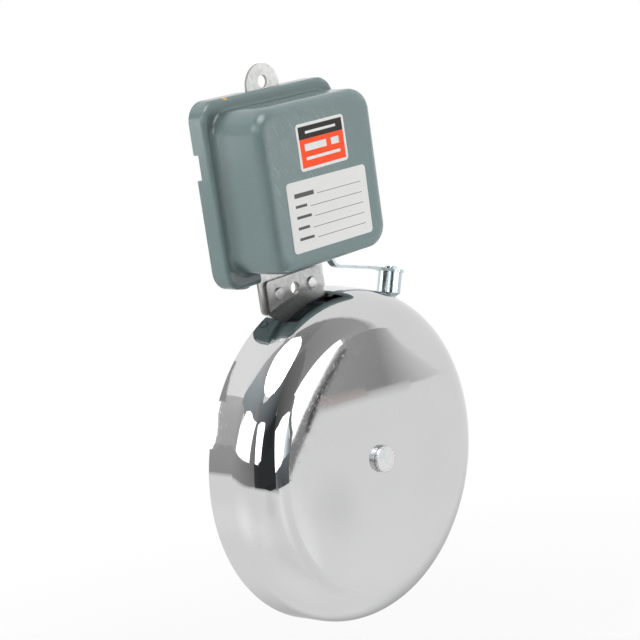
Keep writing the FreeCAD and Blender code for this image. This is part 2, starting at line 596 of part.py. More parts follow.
def cover_form(inset):
    """The cover's outside at inset 0, or its hollow at an inset of one sheet thickness."""
    back = WALL_Y + (CUT if inset else 0)
    flange_y, front_y = FLANGE_FRONT + inset, COVER_FRONT + inset
    flange = rounded_block(COVER_WIDTH - 2 * inset, COVER_HEIGHT - 2 * inset, COVER_CENTRE_Z,
                           COVER_CORNER - inset, back, flange_y)
    form = flange.fuse(box_form(inset, back, front_y)).removeSplitter()
    box_edge = BOX_WIDTH / 2 - inset + 1e-3

    def box_outline(edge):
        limits = edge.BoundBox
        return limits.XMin > -box_edge and limits.XMax < box_edge and in_height(limits)

    def in_height(limits):
        half = BOX_HEIGHT / 2 - inset + 1e-3
        return limits.ZMin > BOX_CENTRE_Z - half and limits.ZMax < BOX_CENTRE_Z + half

    form = form.makeFillet(FRONT_BEND + COVER_SHEET - inset,
                           edges_where(form, lambda e: at_y(e, front_y)))
    form = form.makeFillet(ROOT_BEND + inset,
                           edges_where(form, lambda e: at_y(e, flange_y) and box_outline(e)))
    return form.makeFillet(FLANGE_BEND + COVER_SHEET - inset,
                           edges_where(form, lambda e: at_y(e, flange_y) and outer_outline(e, inset)))


def outer_outline(edge, inset):
    """Whether an edge belongs to the flange's outer outline."""
    limits = edge.BoundBox
    half_width, half_height = COVER_WIDTH / 2 - inset, COVER_HEIGHT / 2 - inset
    sideways = max(abs(limits.XMin), abs(limits.XMax)) > half_width - 1e-3
    upright = max(abs(limits.ZMin - COVER_CENTRE_Z), abs(limits.ZMax - COVER_CENTRE_Z))
    return sideways or upright > half_height - 1e-3


def cover():
    """The pressed cover: open at the back, with notches for the ear, arm, tongue and cable."""
    shell = cover_form(0).cut(cover_form(COVER_SHEET))
    beyond_wall = WALL_Y + CUT
    half_notch = ARM_NOTCH_WIDTH / 2
    arm_notch = block((-half_notch, half_notch), (beyond_wall, ARM_NOTCH_FRONT),
                      (COVER_BOTTOM - CUT, BOX_BOTTOM + COVER_SHEET + CUT))
    inner_corners = edges_where(arm_notch, lambda e: e.BoundBox.YMax < ARM_NOTCH_FRONT + 1e-4
                                and along(e, Vector(0, 0, 1)))
    shell = shell.cut(arm_notch.makeFillet(ARM_NOTCH_CORNER, inner_corners))
    half_ear = EAR_WIDTH / 2 + NOTCH_CLEARANCE
    shell = shell.cut(block((-half_ear, half_ear), (beyond_wall, PLATE_FRONT - LUG_GAP),
                            (COVER_TOP - COVER_SHEET - CUT, COVER_TOP + CUT)))
    half_cable = CABLE_NOTCH_HEIGHT / 2
    shell = shell.cut(block((-COVER_WIDTH, COVER_WIDTH), (beyond_wall, WALL_Y - CABLE_NOTCH_DEPTH),
                            (CABLE_NOTCH_Z - half_cable, CABLE_NOTCH_Z + half_cable)))
    lug_reach = TRAY_CLEARANCE + PLATE_SHEET + LUG_OVERLAP
    for x in (-LUG_OFFSET, LUG_OFFSET):
        lug = block((x - LUG_WIDTH / 2, x + LUG_WIDTH / 2), (WALL_Y, WALL_Y - COVER_SHEET),
                    (COVER_TOP - COVER_SHEET - lug_reach, COVER_TOP - COVER_SHEET / 2))
        shell = shell.fuse(lug)
        hole = Part.makeCylinder(COVER_SCREW_DIAMETER / 2 + HOLE_CLEARANCE, COVER_SHEET + 2 * CUT,
                                 Vector(math.copysign(COVER_SCREW_OFFSET, x), cover_screw_y(),
                                        COVER_BOTTOM - CUT))
        shell = shell.cut(hole)
    return shell.removeSplitter()


def cover_screw_y():
    """The cover screws go through the middle of the tray's folded edge."""
    return WALL_Y / 2 - PLATE_SHEET / 2


def cover_screws():
    """Two screws up through the cover's skirt into the tray's lower edge."""
    screws = []
    for x in (-COVER_SCREW_OFFSET, COVER_SCREW_OFFSET):
        screw = slotted_screw(0, 0, 0, COVER_SCREW_HEAD, COVER_SCREW_HEAD_HEIGHT,
                              COVER_SCREW_DIAMETER, COVER_SCREW_LENGTH, COVER_SCREW_SLOT_DEPTH)
        screw.rotate(Vector(0, 0, 0), Vector(1, 0, 0), 90)
        screw.translate(Vector(x, cover_screw_y(), COVER_BOTTOM))
        screws.append(screw)
    return Part.makeCompound(screws)


def label(width, height, x, z, tilt):
    """A stuck-on label with rounded corners, turned slightly out of true."""
    sticker = rounded_block(width, height, 0, LABEL_CORNER, COVER_FRONT,
                            COVER_FRONT - LABEL_THICKNESS)
    sticker.rotate(Vector(0, 0, 0), Vector(0, 1, 0), tilt)
    sticker.translate(Vector(x, 0, z))
    return sticker


def upper_label():
    """The smaller label, near the top of the cover's front."""
    return label(UPPER_LABEL_WIDTH, UPPER_LABEL_HEIGHT, UPPER_LABEL_X, UPPER_LABEL_Z,
                 UPPER_LABEL_TILT)


def lower_label():
    """The larger label, in the lower half of the cover's front."""
    return label(LOWER_LABEL_WIDTH, LOWER_LABEL_HEIGHT, LOWER_LABEL_X, LOWER_LABEL_Z,
                 LOWER_LABEL_TILT)


# ------------------------------------------------------------------ gong and bracket
def gong_curve(inset):
    """The gong's section at a depth below its outside: its rim, shoulder and dome.

    Distances are from the axis and forwards from the rim plane. The skirt runs straight from
    the rim to touch the shoulder's arc, which runs on smoothly into the domed face.
    """
    slope = math.radians(DOME_ANGLE)
    face_radius = GONG_RADIUS - SHOULDER_INSET
    dome_radius = face_radius / math.sin(slope) + SHOULDER_RADIUS
    dome_centre = GONG_DEPTH - dome_radius
    centre_d = dome_centre + (dome_radius - SHOULDER_RADIUS) * math.cos(slope)
    reach = math.hypot(SHOULDER_INSET, centre_d)
    lean = math.acos(SHOULDER_RADIUS / reach) - math.atan2(centre_d, SHOULDER_INSET)

    rim = (GONG_RADIUS - inset / math.cos(lean), 0.0)
    radius = SHOULDER_RADIUS - inset
    angles = (lean, (lean + math.pi / 2 - slope) / 2, math.pi / 2 - slope)
    shoulder = [(face_radius + radius * math.cos(a), centre_d + radius * math.sin(a))
                for a in angles]

    def dome(distance):
        return dome_centre + math.sqrt((dome_radius - inset) ** 2 - distance ** 2)
    return rim, shoulder, dome


def gong_face_depth(inset, distance=0.0):
    """How far in front of the rim the gong's face lies, at a distance from its axis."""
    return gong_curve(inset)[2](distance)


def gong_skirt_radius(y):
    """The gong's outside radius on its straight skirt."""
    rim, shoulder, _ = gong_curve(0.0)
    return rim[0] + (shoulder[0][0] - rim[0]) * (GONG_RIM - y) / shoulder[0][1]


def gong():
    """The gong: a spun cup with a leaning skirt, round shoulder and slightly domed face."""
    bore = GONG_BOLT_DIAMETER / 2 + HOLE_CLEARANCE

    def at(distance, depth):
        return Vector(distance, GONG_RIM - depth, 0)

    edges, ends = [], []
    for inset in (0.0, GONG_WALL):
        rim, shoulder, dome = gong_curve(inset)
        middle = (shoulder[-1][0] + bore) / 2
        edges.append(Part.makeLine(at(*rim), at(*shoulder[0])))
        edges.append(Part.Arc(*[at(*point) for point in shoulder]).toShape())
        edges.append(Part.Arc(at(*shoulder[-1]), at(middle, dome(middle)),
                              at(bore, dome(bore))).toShape())
        ends.append((at(*rim), at(bore, dome(bore))))
    edges.append(Part.makeLine(ends[0][0], ends[1][0]))
    edges.append(Part.makeLine(ends[0][1], ends[1][1]))
    section = Part.Face(edges_to_wire(edges))
    cup = section.revolve(Vector(0, 0, 0), Vector(0, 1, 0), 360)
    cup = cup.makeFillet(GONG_RIM_EDGE, edges_where(cup, lambda e: at_y(e, GONG_RIM)))
    cup.translate(Vector(0, 0, GONG_Z))
    return cup


def gong_bracket():
    """The flat bracket riveted to the tongue, with a round lower end behind the gong."""
    top = LOWER_HOLE_Z + BRACKET_TOP
    height = top - GONG_Z
    strip = rounded_block(BRACKET_WIDTH, 2 * height, top - height, BRACKET_CORNER,
                          PLATE_FRONT, BRACKET_FRONT)
    strip = strip.cut(block((-BRACKET_WIDTH, BRACKET_WIDTH), (0, BRACKET_FRONT - CUT),
                            (GONG_Z - 2 * height, GONG_Z)))
    strip = strip.fuse(disc(0, GONG_Z, BRACKET_WIDTH, PLATE_FRONT, BRACKET_FRONT))
    strip = strip.removeSplitter()
    holes = [(0, LOWER_HOLE_Z, WALL_HOLE_DIAMETER),
             (0, GONG_Z, GONG_BOLT_DIAMETER + 2 * HOLE_CLEARANCE)]
    holes += [(x, LOWER_HOLE_Z, BRACKET_RIVET_DIAMETER + 2 * SHANK_GAP)
              for x in (-BRACKET_RIVET_OFFSET, BRACKET_RIVET_OFFSET)]
    return strip.cut([disc(x, z, size, 0, BRACKET_FRONT - CUT) for x, z, size in holes])


def bracket_rivets():
    """Two rivets that join the bracket to the tongue."""
    rivets = []
    for x in (-BRACKET_RIVET_OFFSET, BRACKET_RIVET_OFFSET):
        front = domed_head(x, LOWER_HOLE_Z, BRACKET_RIVET_HEAD, BRACKET_FRONT, RIVET_HEAD_HEIGHT)
        back = domed_head(x, LOWER_HOLE_Z, BRACKET_RIVET_HEAD, 0, RIVET_HEAD_HEIGHT, outwards=1)
        shank = disc(x, LOWER_HOLE_Z, BRACKET_RIVET_DIAMETER, 0, BRACKET_FRONT)
        rivets.append(shank.fuse([front, back]))
    return Part.makeCompound(rivets)


def gong_front_y():
    """The y of the gong's outside face, on its axis."""
    return GONG_RIM - gong_face_depth(0.0)


def gong_seat_y():
    """The y where the seat washer meets the inside of the gong's domed face."""
    return GONG_RIM - gong_face_depth(GONG_WALL, SEAT_WASHER_DIAMETER / 2)


def gong_face_washer():
    """The thin washer in front of the gong's face."""
    back = gong_front_y()
    return ring(0, GONG_Z, GONG_WASHER_DIAMETER, GONG_BOLT_DIAMETER + 2 * HOLE_CLEARANCE,
                back, back - GONG_WASHER_THICKNESS)


def gong_bolt():
    """The plain round-headed bolt that goes through the gong, spacer and bracket."""
    seat = gong_front_y() - GONG_WASHER_THICKNESS
    neck = seat - GONG_BOLT_NECK
    top = neck - GONG_BOLT_HEAD_HEIGHT
    head = disc(0, GONG_Z, GONG_BOLT_HEAD, neck, top)
    head = head.makeFillet(GONG_BOLT_HEAD_HEIGHT * SCREW_ROUNDING,
                           edges_where(head, lambda e: at_y(e, top)))
    neck_disc = disc(0, GONG_Z, GONG_BOLT_HEAD - 2 * GONG_BOLT_NECK_INSET, seat, neck)
    end = PLATE_FRONT + LOCK_WASHER_THICKNESS + GONG_NUT_THICKNESS + GONG_BOLT_END
    shank = disc(0, GONG_Z, GONG_BOLT_DIAMETER, end, seat)
    return head.fuse([neck_disc, shank]).removeSplitter()


def gong_seat_washer():
    """The fibre washer between the spacer and the inside of the gong."""
    front = gong_seat_y()
    return ring(0, GONG_Z, SEAT_WASHER_DIAMETER, GONG_BOLT_DIAMETER + 2 * HOLE_CLEARANCE,
                front + SEAT_WASHER_THICKNESS, front)


def gong_spacer():
    """The tube that holds the gong in front of its bracket."""
    return ring(0, GONG_Z, SPACER_DIAMETER, GONG_BOLT_DIAMETER + 2 * HOLE_CLEARANCE,
                BRACKET_FRONT, gong_seat_y() + SEAT_WASHER_THICKNESS)


def gong_lock_washer():
    """The split spring washer behind the bracket."""
    outer = GONG_NUT_FLATS + 2 * LOCK_WASHER_RIM
    washer = ring(0, GONG_Z, outer, GONG_BOLT_DIAMETER + 2 * HOLE_CLEARANCE,
                  PLATE_FRONT + LOCK_WASHER_THICKNESS, PLATE_FRONT)
    split = block((0, outer), (WALL_Y, BRACKET_FRONT),
                  (-LOCK_WASHER_SPLIT / 2, LOCK_WASHER_SPLIT / 2))
    split.rotate(Vector(0, 0, 0), Vector(0, 1, 0), LOCK_WASHER_TURN)
    split.translate(Vector(0, 0, GONG_Z))
    return washer.cut(split)


def gong_nut():
    """The thin nut on the bolt's end."""
    front = PLATE_FRONT + LOCK_WASHER_THICKNESS
    return nut(0, GONG_Z, GONG_NUT_FLATS, GONG_BOLT_DIAMETER + 2 * SHANK_GAP,
               front + GONG_NUT_THICKNESS, front)


# ------------------------------------------------------------------ magnet
def magnet_core():
    """The U-shaped stack of laminations, open towards the armature."""
    stack = block((CORE_LEFT, POLE_X), (CORE_BACK, CORE_FRONT), (CORE_BOTTOM, CORE_TOP))
    window = block((CORE_LEFT + CORE_BAR, POLE_X + CUT), (CORE_BACK + CUT, CORE_FRONT - CUT),
                   (CORE_BOTTOM + CORE_BAR, CORE_TOP - CORE_BAR))
    holes = [disc(YOKE_MIDDLE_X, z, CORE_SCREW_DIAMETER + 2 * HOLE_CLEARANCE,
                  CORE_BACK + CUT, CORE_FRONT - CUT) for z in CORE_SCREW_Z]
    return stack.cut([window] + holes)


def core_spacers():
    """Tubes that hold the core off the base plate."""
    return Part.makeCompound([ring(YOKE_MIDDLE_X, z, CORE_SPACER_DIAMETER,
                                   CORE_SCREW_DIAMETER + 2 * HOLE_CLEARANCE,
                                   PLATE_FRONT, CORE_BACK) for z in CORE_SCREW_Z])


def core_screws():
    """Two screws through the yoke, the spacers and the base plate."""
    length = CORE_NUT_THICKNESS + CORE_SCREW_END - CORE_FRONT
    return Part.makeCompound([slotted_screw(YOKE_MIDDLE_X, z, CORE_FRONT, CORE_SCREW_HEAD,
                                            CORE_SCREW_HEAD_HEIGHT, CORE_SCREW_DIAMETER, length)
                              for z in CORE_SCREW_Z])


def core_nuts():
    """Nuts behind the base plate."""
    return Part.makeCompound([nut(YOKE_MIDDLE_X, z, CORE_NUT_FLATS,
                                  CORE_SCREW_DIAMETER + 2 * SHANK_GAP, CORE_NUT_THICKNESS, 0)
                              for z in CORE_SCREW_Z])


def coil_block(margin_y, margin_z, x_left, x_right):
    """A block round the lower leg that stands off it by a margin."""
    half_y, half_z = CORE_THICKNESS / 2 + margin_y, CORE_BAR / 2 + margin_z
    return block((x_left, x_right), (MIDDLE_Y - half_y, MIDDLE_Y + half_y),
                 (COIL_LEG_Z - half_z, COIL_LEG_Z + half_z))


def winding_margins(extra):
    """How far a layer of the coil stands off the leg, before or behind and above or below it."""
    return BOBBIN_TUBE + WINDING_BUILD_Y + extra, BOBBIN_TUBE + WINDING_BUILD_Z + extra


def coil_bobbin():
    """The moulded bobbin: a square tube on the leg with a flange at each end."""
    tube = coil_block(BOBBIN_TUBE, BOBBIN_TUBE, BOBBIN_LEFT, BOBBIN_RIGHT)
    flange = winding_margins(BOBBIN_EDGE)
    ends = [coil_block(*flange, BOBBIN_LEFT, BOBBIN_LEFT + BOBBIN_FLANGE),
            coil_block(*flange, BOBBIN_RIGHT - BOBBIN_FLANGE, BOBBIN_RIGHT)]
    opening = coil_block(BOBBIN_CLEARANCE, BOBBIN_CLEARANCE, BOBBIN_LEFT - CUT, BOBBIN_RIGHT + CUT)
    return tube.fuse(ends).cut(opening).removeSplitter()


def coil_layer(inner, outer):
    """A layer of the coil between the bobbin's flanges."""
    left, right = BOBBIN_LEFT + BOBBIN_FLANGE, BOBBIN_RIGHT - BOBBIN_FLANGE
    return coil_block(*outer, left, right).cut(coil_block(*inner, left - CUT, right + CUT))


def coil_winding():
    """The copper winding on the bobbin."""
    return coil_layer((BOBBIN_TUBE, BOBBIN_TUBE), winding_margins(0.0))


def coil_wrap():
    """The insulating wrap round the winding."""
    return coil_layer(winding_margins(0.0), winding_margins(WRAP_THICKNESS))


# ------------------------------------------------------------------ armature and pivot
def armature():
    """The iron armature with its pivot hub at the top."""
    depth = (MIDDLE_Y + ARMATURE_WIDTH / 2, MIDDLE_Y - ARMATURE_WIDTH / 2)
    plate = block((ARMATURE_LEFT, ARMATURE_RIGHT), depth, (ARMATURE_BOTTOM, PIVOT_Z))
    hub = disc(PIVOT_X, PIVOT_Z, HUB_DIAMETER, *depth)
    bore = disc(PIVOT_X, PIVOT_Z, BUSH_DIAMETER + 2 * SHANK_GAP, depth[0] + CUT, depth[1] - CUT)
    rivet_holes = [Part.makeCylinder(ARM_RIVET_DIAMETER / 2 + SHANK_GAP,
                                     ARMATURE_THICKNESS + 2 * CUT,
                                     Vector(ARMATURE_LEFT - CUT, MIDDLE_Y, z), Vector(1, 0, 0))
                   for z in ARM_RIVET_Z]
    return plate.fuse(hub).cut([bore] + rivet_holes).removeSplitter()


def armature_bush():
    """The brass bush pressed into the hub."""
    return ring(PIVOT_X, PIVOT_Z, BUSH_DIAMETER, STUD_DIAMETER + 2 * RUNNING_CLEARANCE,
                BUSH_BACK, BUSH_FRONT)


def peened_tenon(x, z, y_front):
    """A tenon through the base plate, peened over behind it."""
    tenon = disc(x, z, STUD_TENON_DIAMETER, 0, y_front)
    return tenon.fuse(domed_head(x, z, PEENED_HEAD_DIAMETER, 0, PEENED_HEAD_HEIGHT, outwards=1))


def pivot_stud():
    """The stud that the armature swings on, peened into the base plate."""
    collar = disc(PIVOT_X, PIVOT_Z, STUD_COLLAR_DIAMETER, PLATE_FRONT, COLLAR_FRONT)
    tip = CLIP_BACK - CLIP_THICKNESS - STUD_TIP
    journal = disc(PIVOT_X, PIVOT_Z, STUD_DIAMETER, COLLAR_FRONT, tip)
    groove = ring(PIVOT_X, PIVOT_Z, STUD_DIAMETER + CUT, CLIP_GROOVE_DIAMETER,
                  CLIP_BACK, CLIP_BACK - CLIP_THICKNESS)
    tail = peened_tenon(PIVOT_X, PIVOT_Z, PLATE_FRONT)
    return collar.fuse([journal.cut(groove), tail]).removeSplitter()


def pivot_clip():
    """The open clip that keeps the armature on its stud."""
    clip = ring(PIVOT_X, PIVOT_Z, CLIP_DIAMETER, CLIP_GROOVE_DIAMETER + 2 * SHANK_GAP,
                CLIP_BACK - SHANK_GAP, CLIP_BACK - CLIP_THICKNESS + SHANK_GAP)
    mouth = block((PIVOT_X - CLIP_MOUTH / 2, PIVOT_X + CLIP_MOUTH / 2), (PLATE_FRONT, COVER_FRONT),
                  (PIVOT_Z, PIVOT_Z + CLIP_DIAMETER))
    return clip.cut(mouth)


# ------------------------------------------------------------------ hammer arm
def arm_with_slope(length):
    """The arm's side outline for one length of its sloping run, and its end and heading."""
    moves = [(TAB_Z - ARM_BEND_Z, 0), (ARM_BEND_RADIUS, 90 - ARM_SLOPE), (length, 0),
             (ARM_SET_RADIUS, ARM_SLOPE - PAD_SLOPE), (PAD_LENGTH, 0)]
    return bent_band((ARM_X, TAB_Z), -90, moves, ARM_THICKNESS)


def arm_slope_length():
    """The sloping run that brings the hammer's face to its gap from the gong's skirt."""
    trial = 1.0
    _, pad, heading = arm_with_slope(trial)
    tilt, slope = math.radians(heading), math.radians(ARM_SLOPE)
    hang = ARM_THICKNESS / 2 + HAMMER_LENGTH
    face = Vector(pad.x + hang * math.sin(tilt), 0, pad.z - hang * math.cos(tilt))
    from_axis = face - Vector(0, 0, GONG_Z)
    ahead = from_axis.dot(Vector(math.cos(slope), 0, -math.sin(slope)))
    distance = gong_skirt_radius(MIDDLE_Y) + HAMMER_GAP
    return trial - ahead + math.sqrt(ahead ** 2 - from_axis.dot(from_axis) + distance ** 2)


def arm_outline():
    """The arm's side outline, and the hammer's place and heading at its pad."""
    return arm_with_slope(arm_slope_length())


def pad_place():
    """The pad's centre on the arm's middle plane, its downhill direction and its upward normal."""
    _, centre, heading = arm_outline()
    angle = math.radians(heading)
    along_arm = Vector(math.cos(angle), 0, math.sin(angle))
    normal = Vector(-math.sin(angle), 0, math.cos(angle))
    return Vector(centre.x, MIDDLE_Y, centre.z), along_arm, normal


def hammer_arm():
    """The steel strip from the spring tab down through the notch to the hammer's pad."""
    face, _, _ = arm_outline()
    strip = face.extrude(Vector(0, ARM_WIDTH, 0))
    strip.translate(Vector(0, MIDDLE_Y - ARM_WIDTH / 2, 0))

    wide, narrow = ARM_ROOT_WIDTH / 2, ARM_WIDTH / 2
    root = [(wide, TAB_TOP), (wide, ARM_ROOT_BOTTOM), (narrow, ARM_NECK_Z)]
    root += [(-y, z) for y, z in reversed(root)]
    corners = [Vector(ARMATURE_RIGHT, MIDDLE_Y + y, z) for y, z in root]
    root_plate = Part.Face(Part.makePolygon(corners + corners[:1]))
    root_plate = root_plate.extrude(Vector(ARM_THICKNESS, 0, 0))
    tab_end = TAB_HOLE_CENTRE_X + TAB_END
    tab = block((ARMATURE_RIGHT, tab_end), (MIDDLE_Y - wide, MIDDLE_Y + wide), (TAB_Z, TAB_TOP))
    tab_hole = Part.makeCylinder(TAB_HOLE_DIAMETER / 2, ARM_THICKNESS + 2 * CUT,
                                 Vector(TAB_HOLE_CENTRE_X, MIDDLE_Y, TAB_Z - CUT))

    centre, along_arm, normal = pad_place()
    under = centre - normal * (ARM_THICKNESS / 2)
    pad = Part.makeCylinder(PAD_RADIUS, ARM_THICKNESS, under, normal)
    across = Vector(0, 1, 0)
    turn = math.radians(PAD_FLARE_ANGLE)
    flare = [under - along_arm * PAD_LENGTH + across * narrow,
             under - along_arm * (PAD_RADIUS * math.cos(turn)) + across * (PAD_RADIUS * math.sin(turn))]
    flare += [point - across * (2 * (point.y - MIDDLE_Y)) for point in reversed(flare)]
    flare_plate = Part.Face(Part.makePolygon(flare + flare[:1])).extrude(normal * ARM_THICKNESS)

    arm = strip.fuse([root_plate, tab, pad, flare_plate]).removeSplitter()
    rivet_holes = [Part.makeCylinder(ARM_RIVET_DIAMETER / 2 + SHANK_GAP, ARM_THICKNESS + 2 * CUT,
                                     Vector(ARMATURE_RIGHT - CUT, MIDDLE_Y, z), Vector(1, 0, 0))
                   for z in ARM_RIVET_Z]
    hammer_hole = Part.makeCylinder(HAMMER_RIVET_DIAMETER / 2 + SHANK_GAP, ARM_THICKNESS + 2 * CUT,
                                    under - normal * CUT, normal)
    return arm.cut([tab_hole, hammer_hole] + rivet_holes)


def arm_rivets():
    """Two rivets that join the arm to the armature, flush on the magnet's side."""
    rivets = []
    for z in ARM_RIVET_Z:
        shank = Part.makeCylinder(ARM_RIVET_DIAMETER / 2, ARMATURE_THICKNESS + ARM_THICKNESS,
                                  Vector(ARMATURE_LEFT, MIDDLE_Y, z), Vector(1, 0, 0))
        head = Part.makeCylinder(ARM_RIVET_HEAD / 2, RIVET_HEAD_HEIGHT,
                                 Vector(ARM_RIGHT, MIDDLE_Y, z), Vector(1, 0, 0))
        outer = edges_where(head, lambda e: e.BoundBox.XMin > ARM_RIGHT + RIVET_HEAD_HEIGHT - 1e-4)
        rivets.append(shank.fuse(head.makeFillet(RIVET_HEAD_HEIGHT * RIVET_ROUNDING, outer)))
    return Part.makeCompound(rivets)


def hammer_frame(shape):
    """Move a shape drawn downwards from the origin to hang under the arm's pad."""
    centre, _, normal = pad_place()
    under = centre - normal * (ARM_THICKNESS / 2)
    turned = shape.copy()
    turned.rotate(Vector(0, 0, 0), Vector(0, 1, 0), PAD_SLOPE)
    turned.translate(under)
    return turned


def hammer_head():
    """The hammer: a short cylinder with a chamfered striking end and a hole for its rivet."""
    radius = HAMMER_DIAMETER / 2
    points = [(0, 0), (radius, 0), (radius, HAMMER_CHAMFER_ALONG - HAMMER_LENGTH),
              (radius - HAMMER_CHAMFER_ACROSS, -HAMMER_LENGTH), (0, -HAMMER_LENGTH)]
    corners = [Vector(r, 0, z) for r, z in points]
    section = Part.Face(Part.makePolygon(corners + corners[:1]))
    head = section.revolve(Vector(0, 0, 0), Vector(0, 0, 1), 360)
    hole = Part.makeCylinder(HAMMER_RIVET_DIAMETER / 2 + SHANK_GAP, HAMMER_RIVET_DEPTH + CUT,
                             Vector(0, 0, -HAMMER_RIVET_DEPTH))
    return hammer_frame(head.cut(hole))


def hammer_rivet():
    """The rivet that holds the hammer under the pad, upset on top of it."""
    depth = HAMMER_RIVET_DEPTH - HAMMER_RIVET_END_GAP
    shank = Part.makeCylinder(HAMMER_RIVET_DIAMETER / 2, depth + ARM_THICKNESS,
                              Vector(0, 0, -depth))
    head = Part.makeCylinder(HAMMER_RIVET_HEAD / 2, HAMMER_RIVET_HEAD_HEIGHT,
                             Vector(0, 0, ARM_THICKNESS))
    top = ARM_THICKNESS + HAMMER_RIVET_HEAD_HEIGHT
    head = head.makeFillet(HAMMER_RIVET_HEAD_HEIGHT * SCREW_ROUNDING,
                           edges_where(head, lambda e: e.BoundBox.ZMin > top - 1e-4))
    return hammer_frame(shank.fuse(head))


# ------------------------------------------------------------------ spring and stop
def spring_loop(loop_x, coil_x):
    """The hook at one end of the spring: a straight lead-out and an open loop."""
    top = Vector(loop_x, MIDDLE_Y, SPRING_Z + SPRING_MEAN_RADIUS)
    circle = Part.Face(Part.Wire(Part.makeCircle(SPRING_WIRE / 2, top, Vector(1, 0, 0))))
    turn = math.copysign(SPRING_LOOP_ANGLE, loop_x - coil_x)
    loop = circle.revolve(Vector(loop_x, MIDDLE_Y, SPRING_Z), Vector(0, 1, 0), turn)
    lead = Part.makeCylinder(SPRING_WIRE / 2, abs(loop_x - coil_x),
                             Vector(min(loop_x, coil_x), MIDDLE_Y, top.z), Vector(1, 0, 0))
    elbow = Part.makeSphere(SPRING_WIRE / 2, Vector(coil_x, MIDDLE_Y, top.z))
    return [loop, lead, elbow]


def return_spring():
    """The extension spring that pulls the arm back against its stop."""
    helix = Part.makeHelix(SPRING_PITCH, SPRING_PITCH * SPRING_TURNS, SPRING_MEAN_RADIUS)
    circle = Part.makeCircle(SPRING_WIRE / 2, Vector(SPRING_MEAN_RADIUS, 0, 0), Vector(0, 1, 0))
    coil = Part.Wire(helix).makePipeShell([Part.Wire(circle)], True, True)
    coil.rotate(Vector(0, 0, 0), Vector(0, 0, 1), 180)
    coil.rotate(Vector(0, 0, 0), Vector(0, 1, 0), 90)
    coil.translate(Vector(COIL_START_X, MIDDLE_Y, SPRING_Z))
    hooks = spring_loop(LEFT_LOOP_X, COIL_START_X) + spring_loop(RIGHT_LOOP_X, COIL_END_X)
    return coil.fuse(hooks)


def spring_post():
    """The post that the spring's outer loop hooks on."""
    front = MIDDLE_Y - SPRING_POST_REACH
    post = disc(SPRING_POST_X, SPRING_Z, SPRING_POST_DIAMETER, PLATE_FRONT, front)
    foot = disc(SPRING_POST_X, SPRING_Z, SPRING_POST_DIAMETER + 2 * POST_FOOT_RIM, PLATE_FRONT,
                PLATE_FRONT - SPRING_POST_FOOT)
    return post.fuse([foot, peened_tenon(SPRING_POST_X, SPRING_Z, PLATE_FRONT)]).removeSplitter()


def back_stop_post():
    """The post behind the back-stop sleeve."""
    front = MIDDLE_Y - STOP_REACH
    post = disc(STOP_X, STOP_Z, STOP_POST_DIAMETER, PLATE_FRONT, front)
    foot = disc(STOP_X, STOP_Z, STOP_POST_DIAMETER + 2 * POST_FOOT_RIM, PLATE_FRONT,
                PLATE_FRONT - STOP_SLEEVE_BACK)
    return post.fuse([foot, peened_tenon(STOP_X, STOP_Z, PLATE_FRONT)]).removeSplitter()


def back_stop_sleeve():
    """The rubber sleeve that the arm rests against."""
    return ring(STOP_X, STOP_Z, STOP_SLEEVE_DIAMETER, STOP_POST_DIAMETER + 2 * SHANK_GAP,
                PLATE_FRONT - STOP_SLEEVE_BACK, MIDDLE_Y - STOP_REACH)


# ------------------------------------------------------------------ terminals and wiring
def insulating_sheet():
    """The thin sheet between the terminal block and the base plate."""
    margin = INSULATOR_MARGIN
    sheet = block((BLOCK_LEFT - margin, BLOCK_LEFT + BLOCK_WIDTH + margin),
                  (PLATE_FRONT, BLOCK_BACK),
                  (BLOCK_BOTTOM - margin, BLOCK_BOTTOM + BLOCK_HEIGHT + margin))
    return sheet.cut(disc(BLOCK_MIDDLE_X, BLOCK_MIDDLE_Z,
                          BLOCK_SCREW_DIAMETER + 2 * HOLE_CLEARANCE, 0, BLOCK_BACK - CUT))


def terminal_block():
    """The moulded block with two terminal bays between ribs."""
    body = block((BLOCK_LEFT, BLOCK_LEFT + BLOCK_WIDTH), (BLOCK_BACK, BLOCK_FRONT),
                 (BLOCK_BOTTOM, BLOCK_BOTTOM + BLOCK_HEIGHT))
    cutters = []
    for z in BAY_Z:
        cutters.append(block((BLOCK_LEFT - CUT, BLOCK_LEFT + BLOCK_WIDTH + CUT),
                             (BAY_FLOOR_Y, BLOCK_FRONT - CUT),
                             (z - BAY_HEIGHT / 2, z + BAY_HEIGHT / 2)))
        cutters.append(disc(BLOCK_MIDDLE_X, z, TERMINAL_SCREW_DIAMETER + 2 * SHANK_GAP,
                            BAY_FLOOR_Y + TERMINAL_SCREW_LENGTH - CLAMP_THICKNESS + SHANK_GAP,
                            BAY_FLOOR_Y - CUT))
    cutters.append(disc(BLOCK_MIDDLE_X, BLOCK_MIDDLE_Z,
                        BLOCK_SCREW_DIAMETER + 2 * HOLE_CLEARANCE, BLOCK_BACK + CUT,
                        BLOCK_FRONT - CUT))
    cutters.append(disc(BLOCK_MIDDLE_X, BLOCK_MIDDLE_Z, BLOCK_SCREW_HEAD + 2 * HOLE_CLEARANCE,
                        block_screw_seat(), BLOCK_FRONT - CUT))
    return body.cut(cutters)


def block_screw_seat():
    """The y of the counterbore's floor for the block's screw."""
    return BLOCK_FRONT + BLOCK_SCREW_HEAD_HEIGHT + SLOT_DEPTH


def block_screw():
    """The screw that fixes the terminal block to the base plate."""
    seat = block_screw_seat()
    return slotted_screw(BLOCK_MIDDLE_X, BLOCK_MIDDLE_Z, seat, BLOCK_SCREW_HEAD,
                         BLOCK_SCREW_HEAD_HEIGHT, BLOCK_SCREW_DIAMETER, SCREW_TAIL - seat)


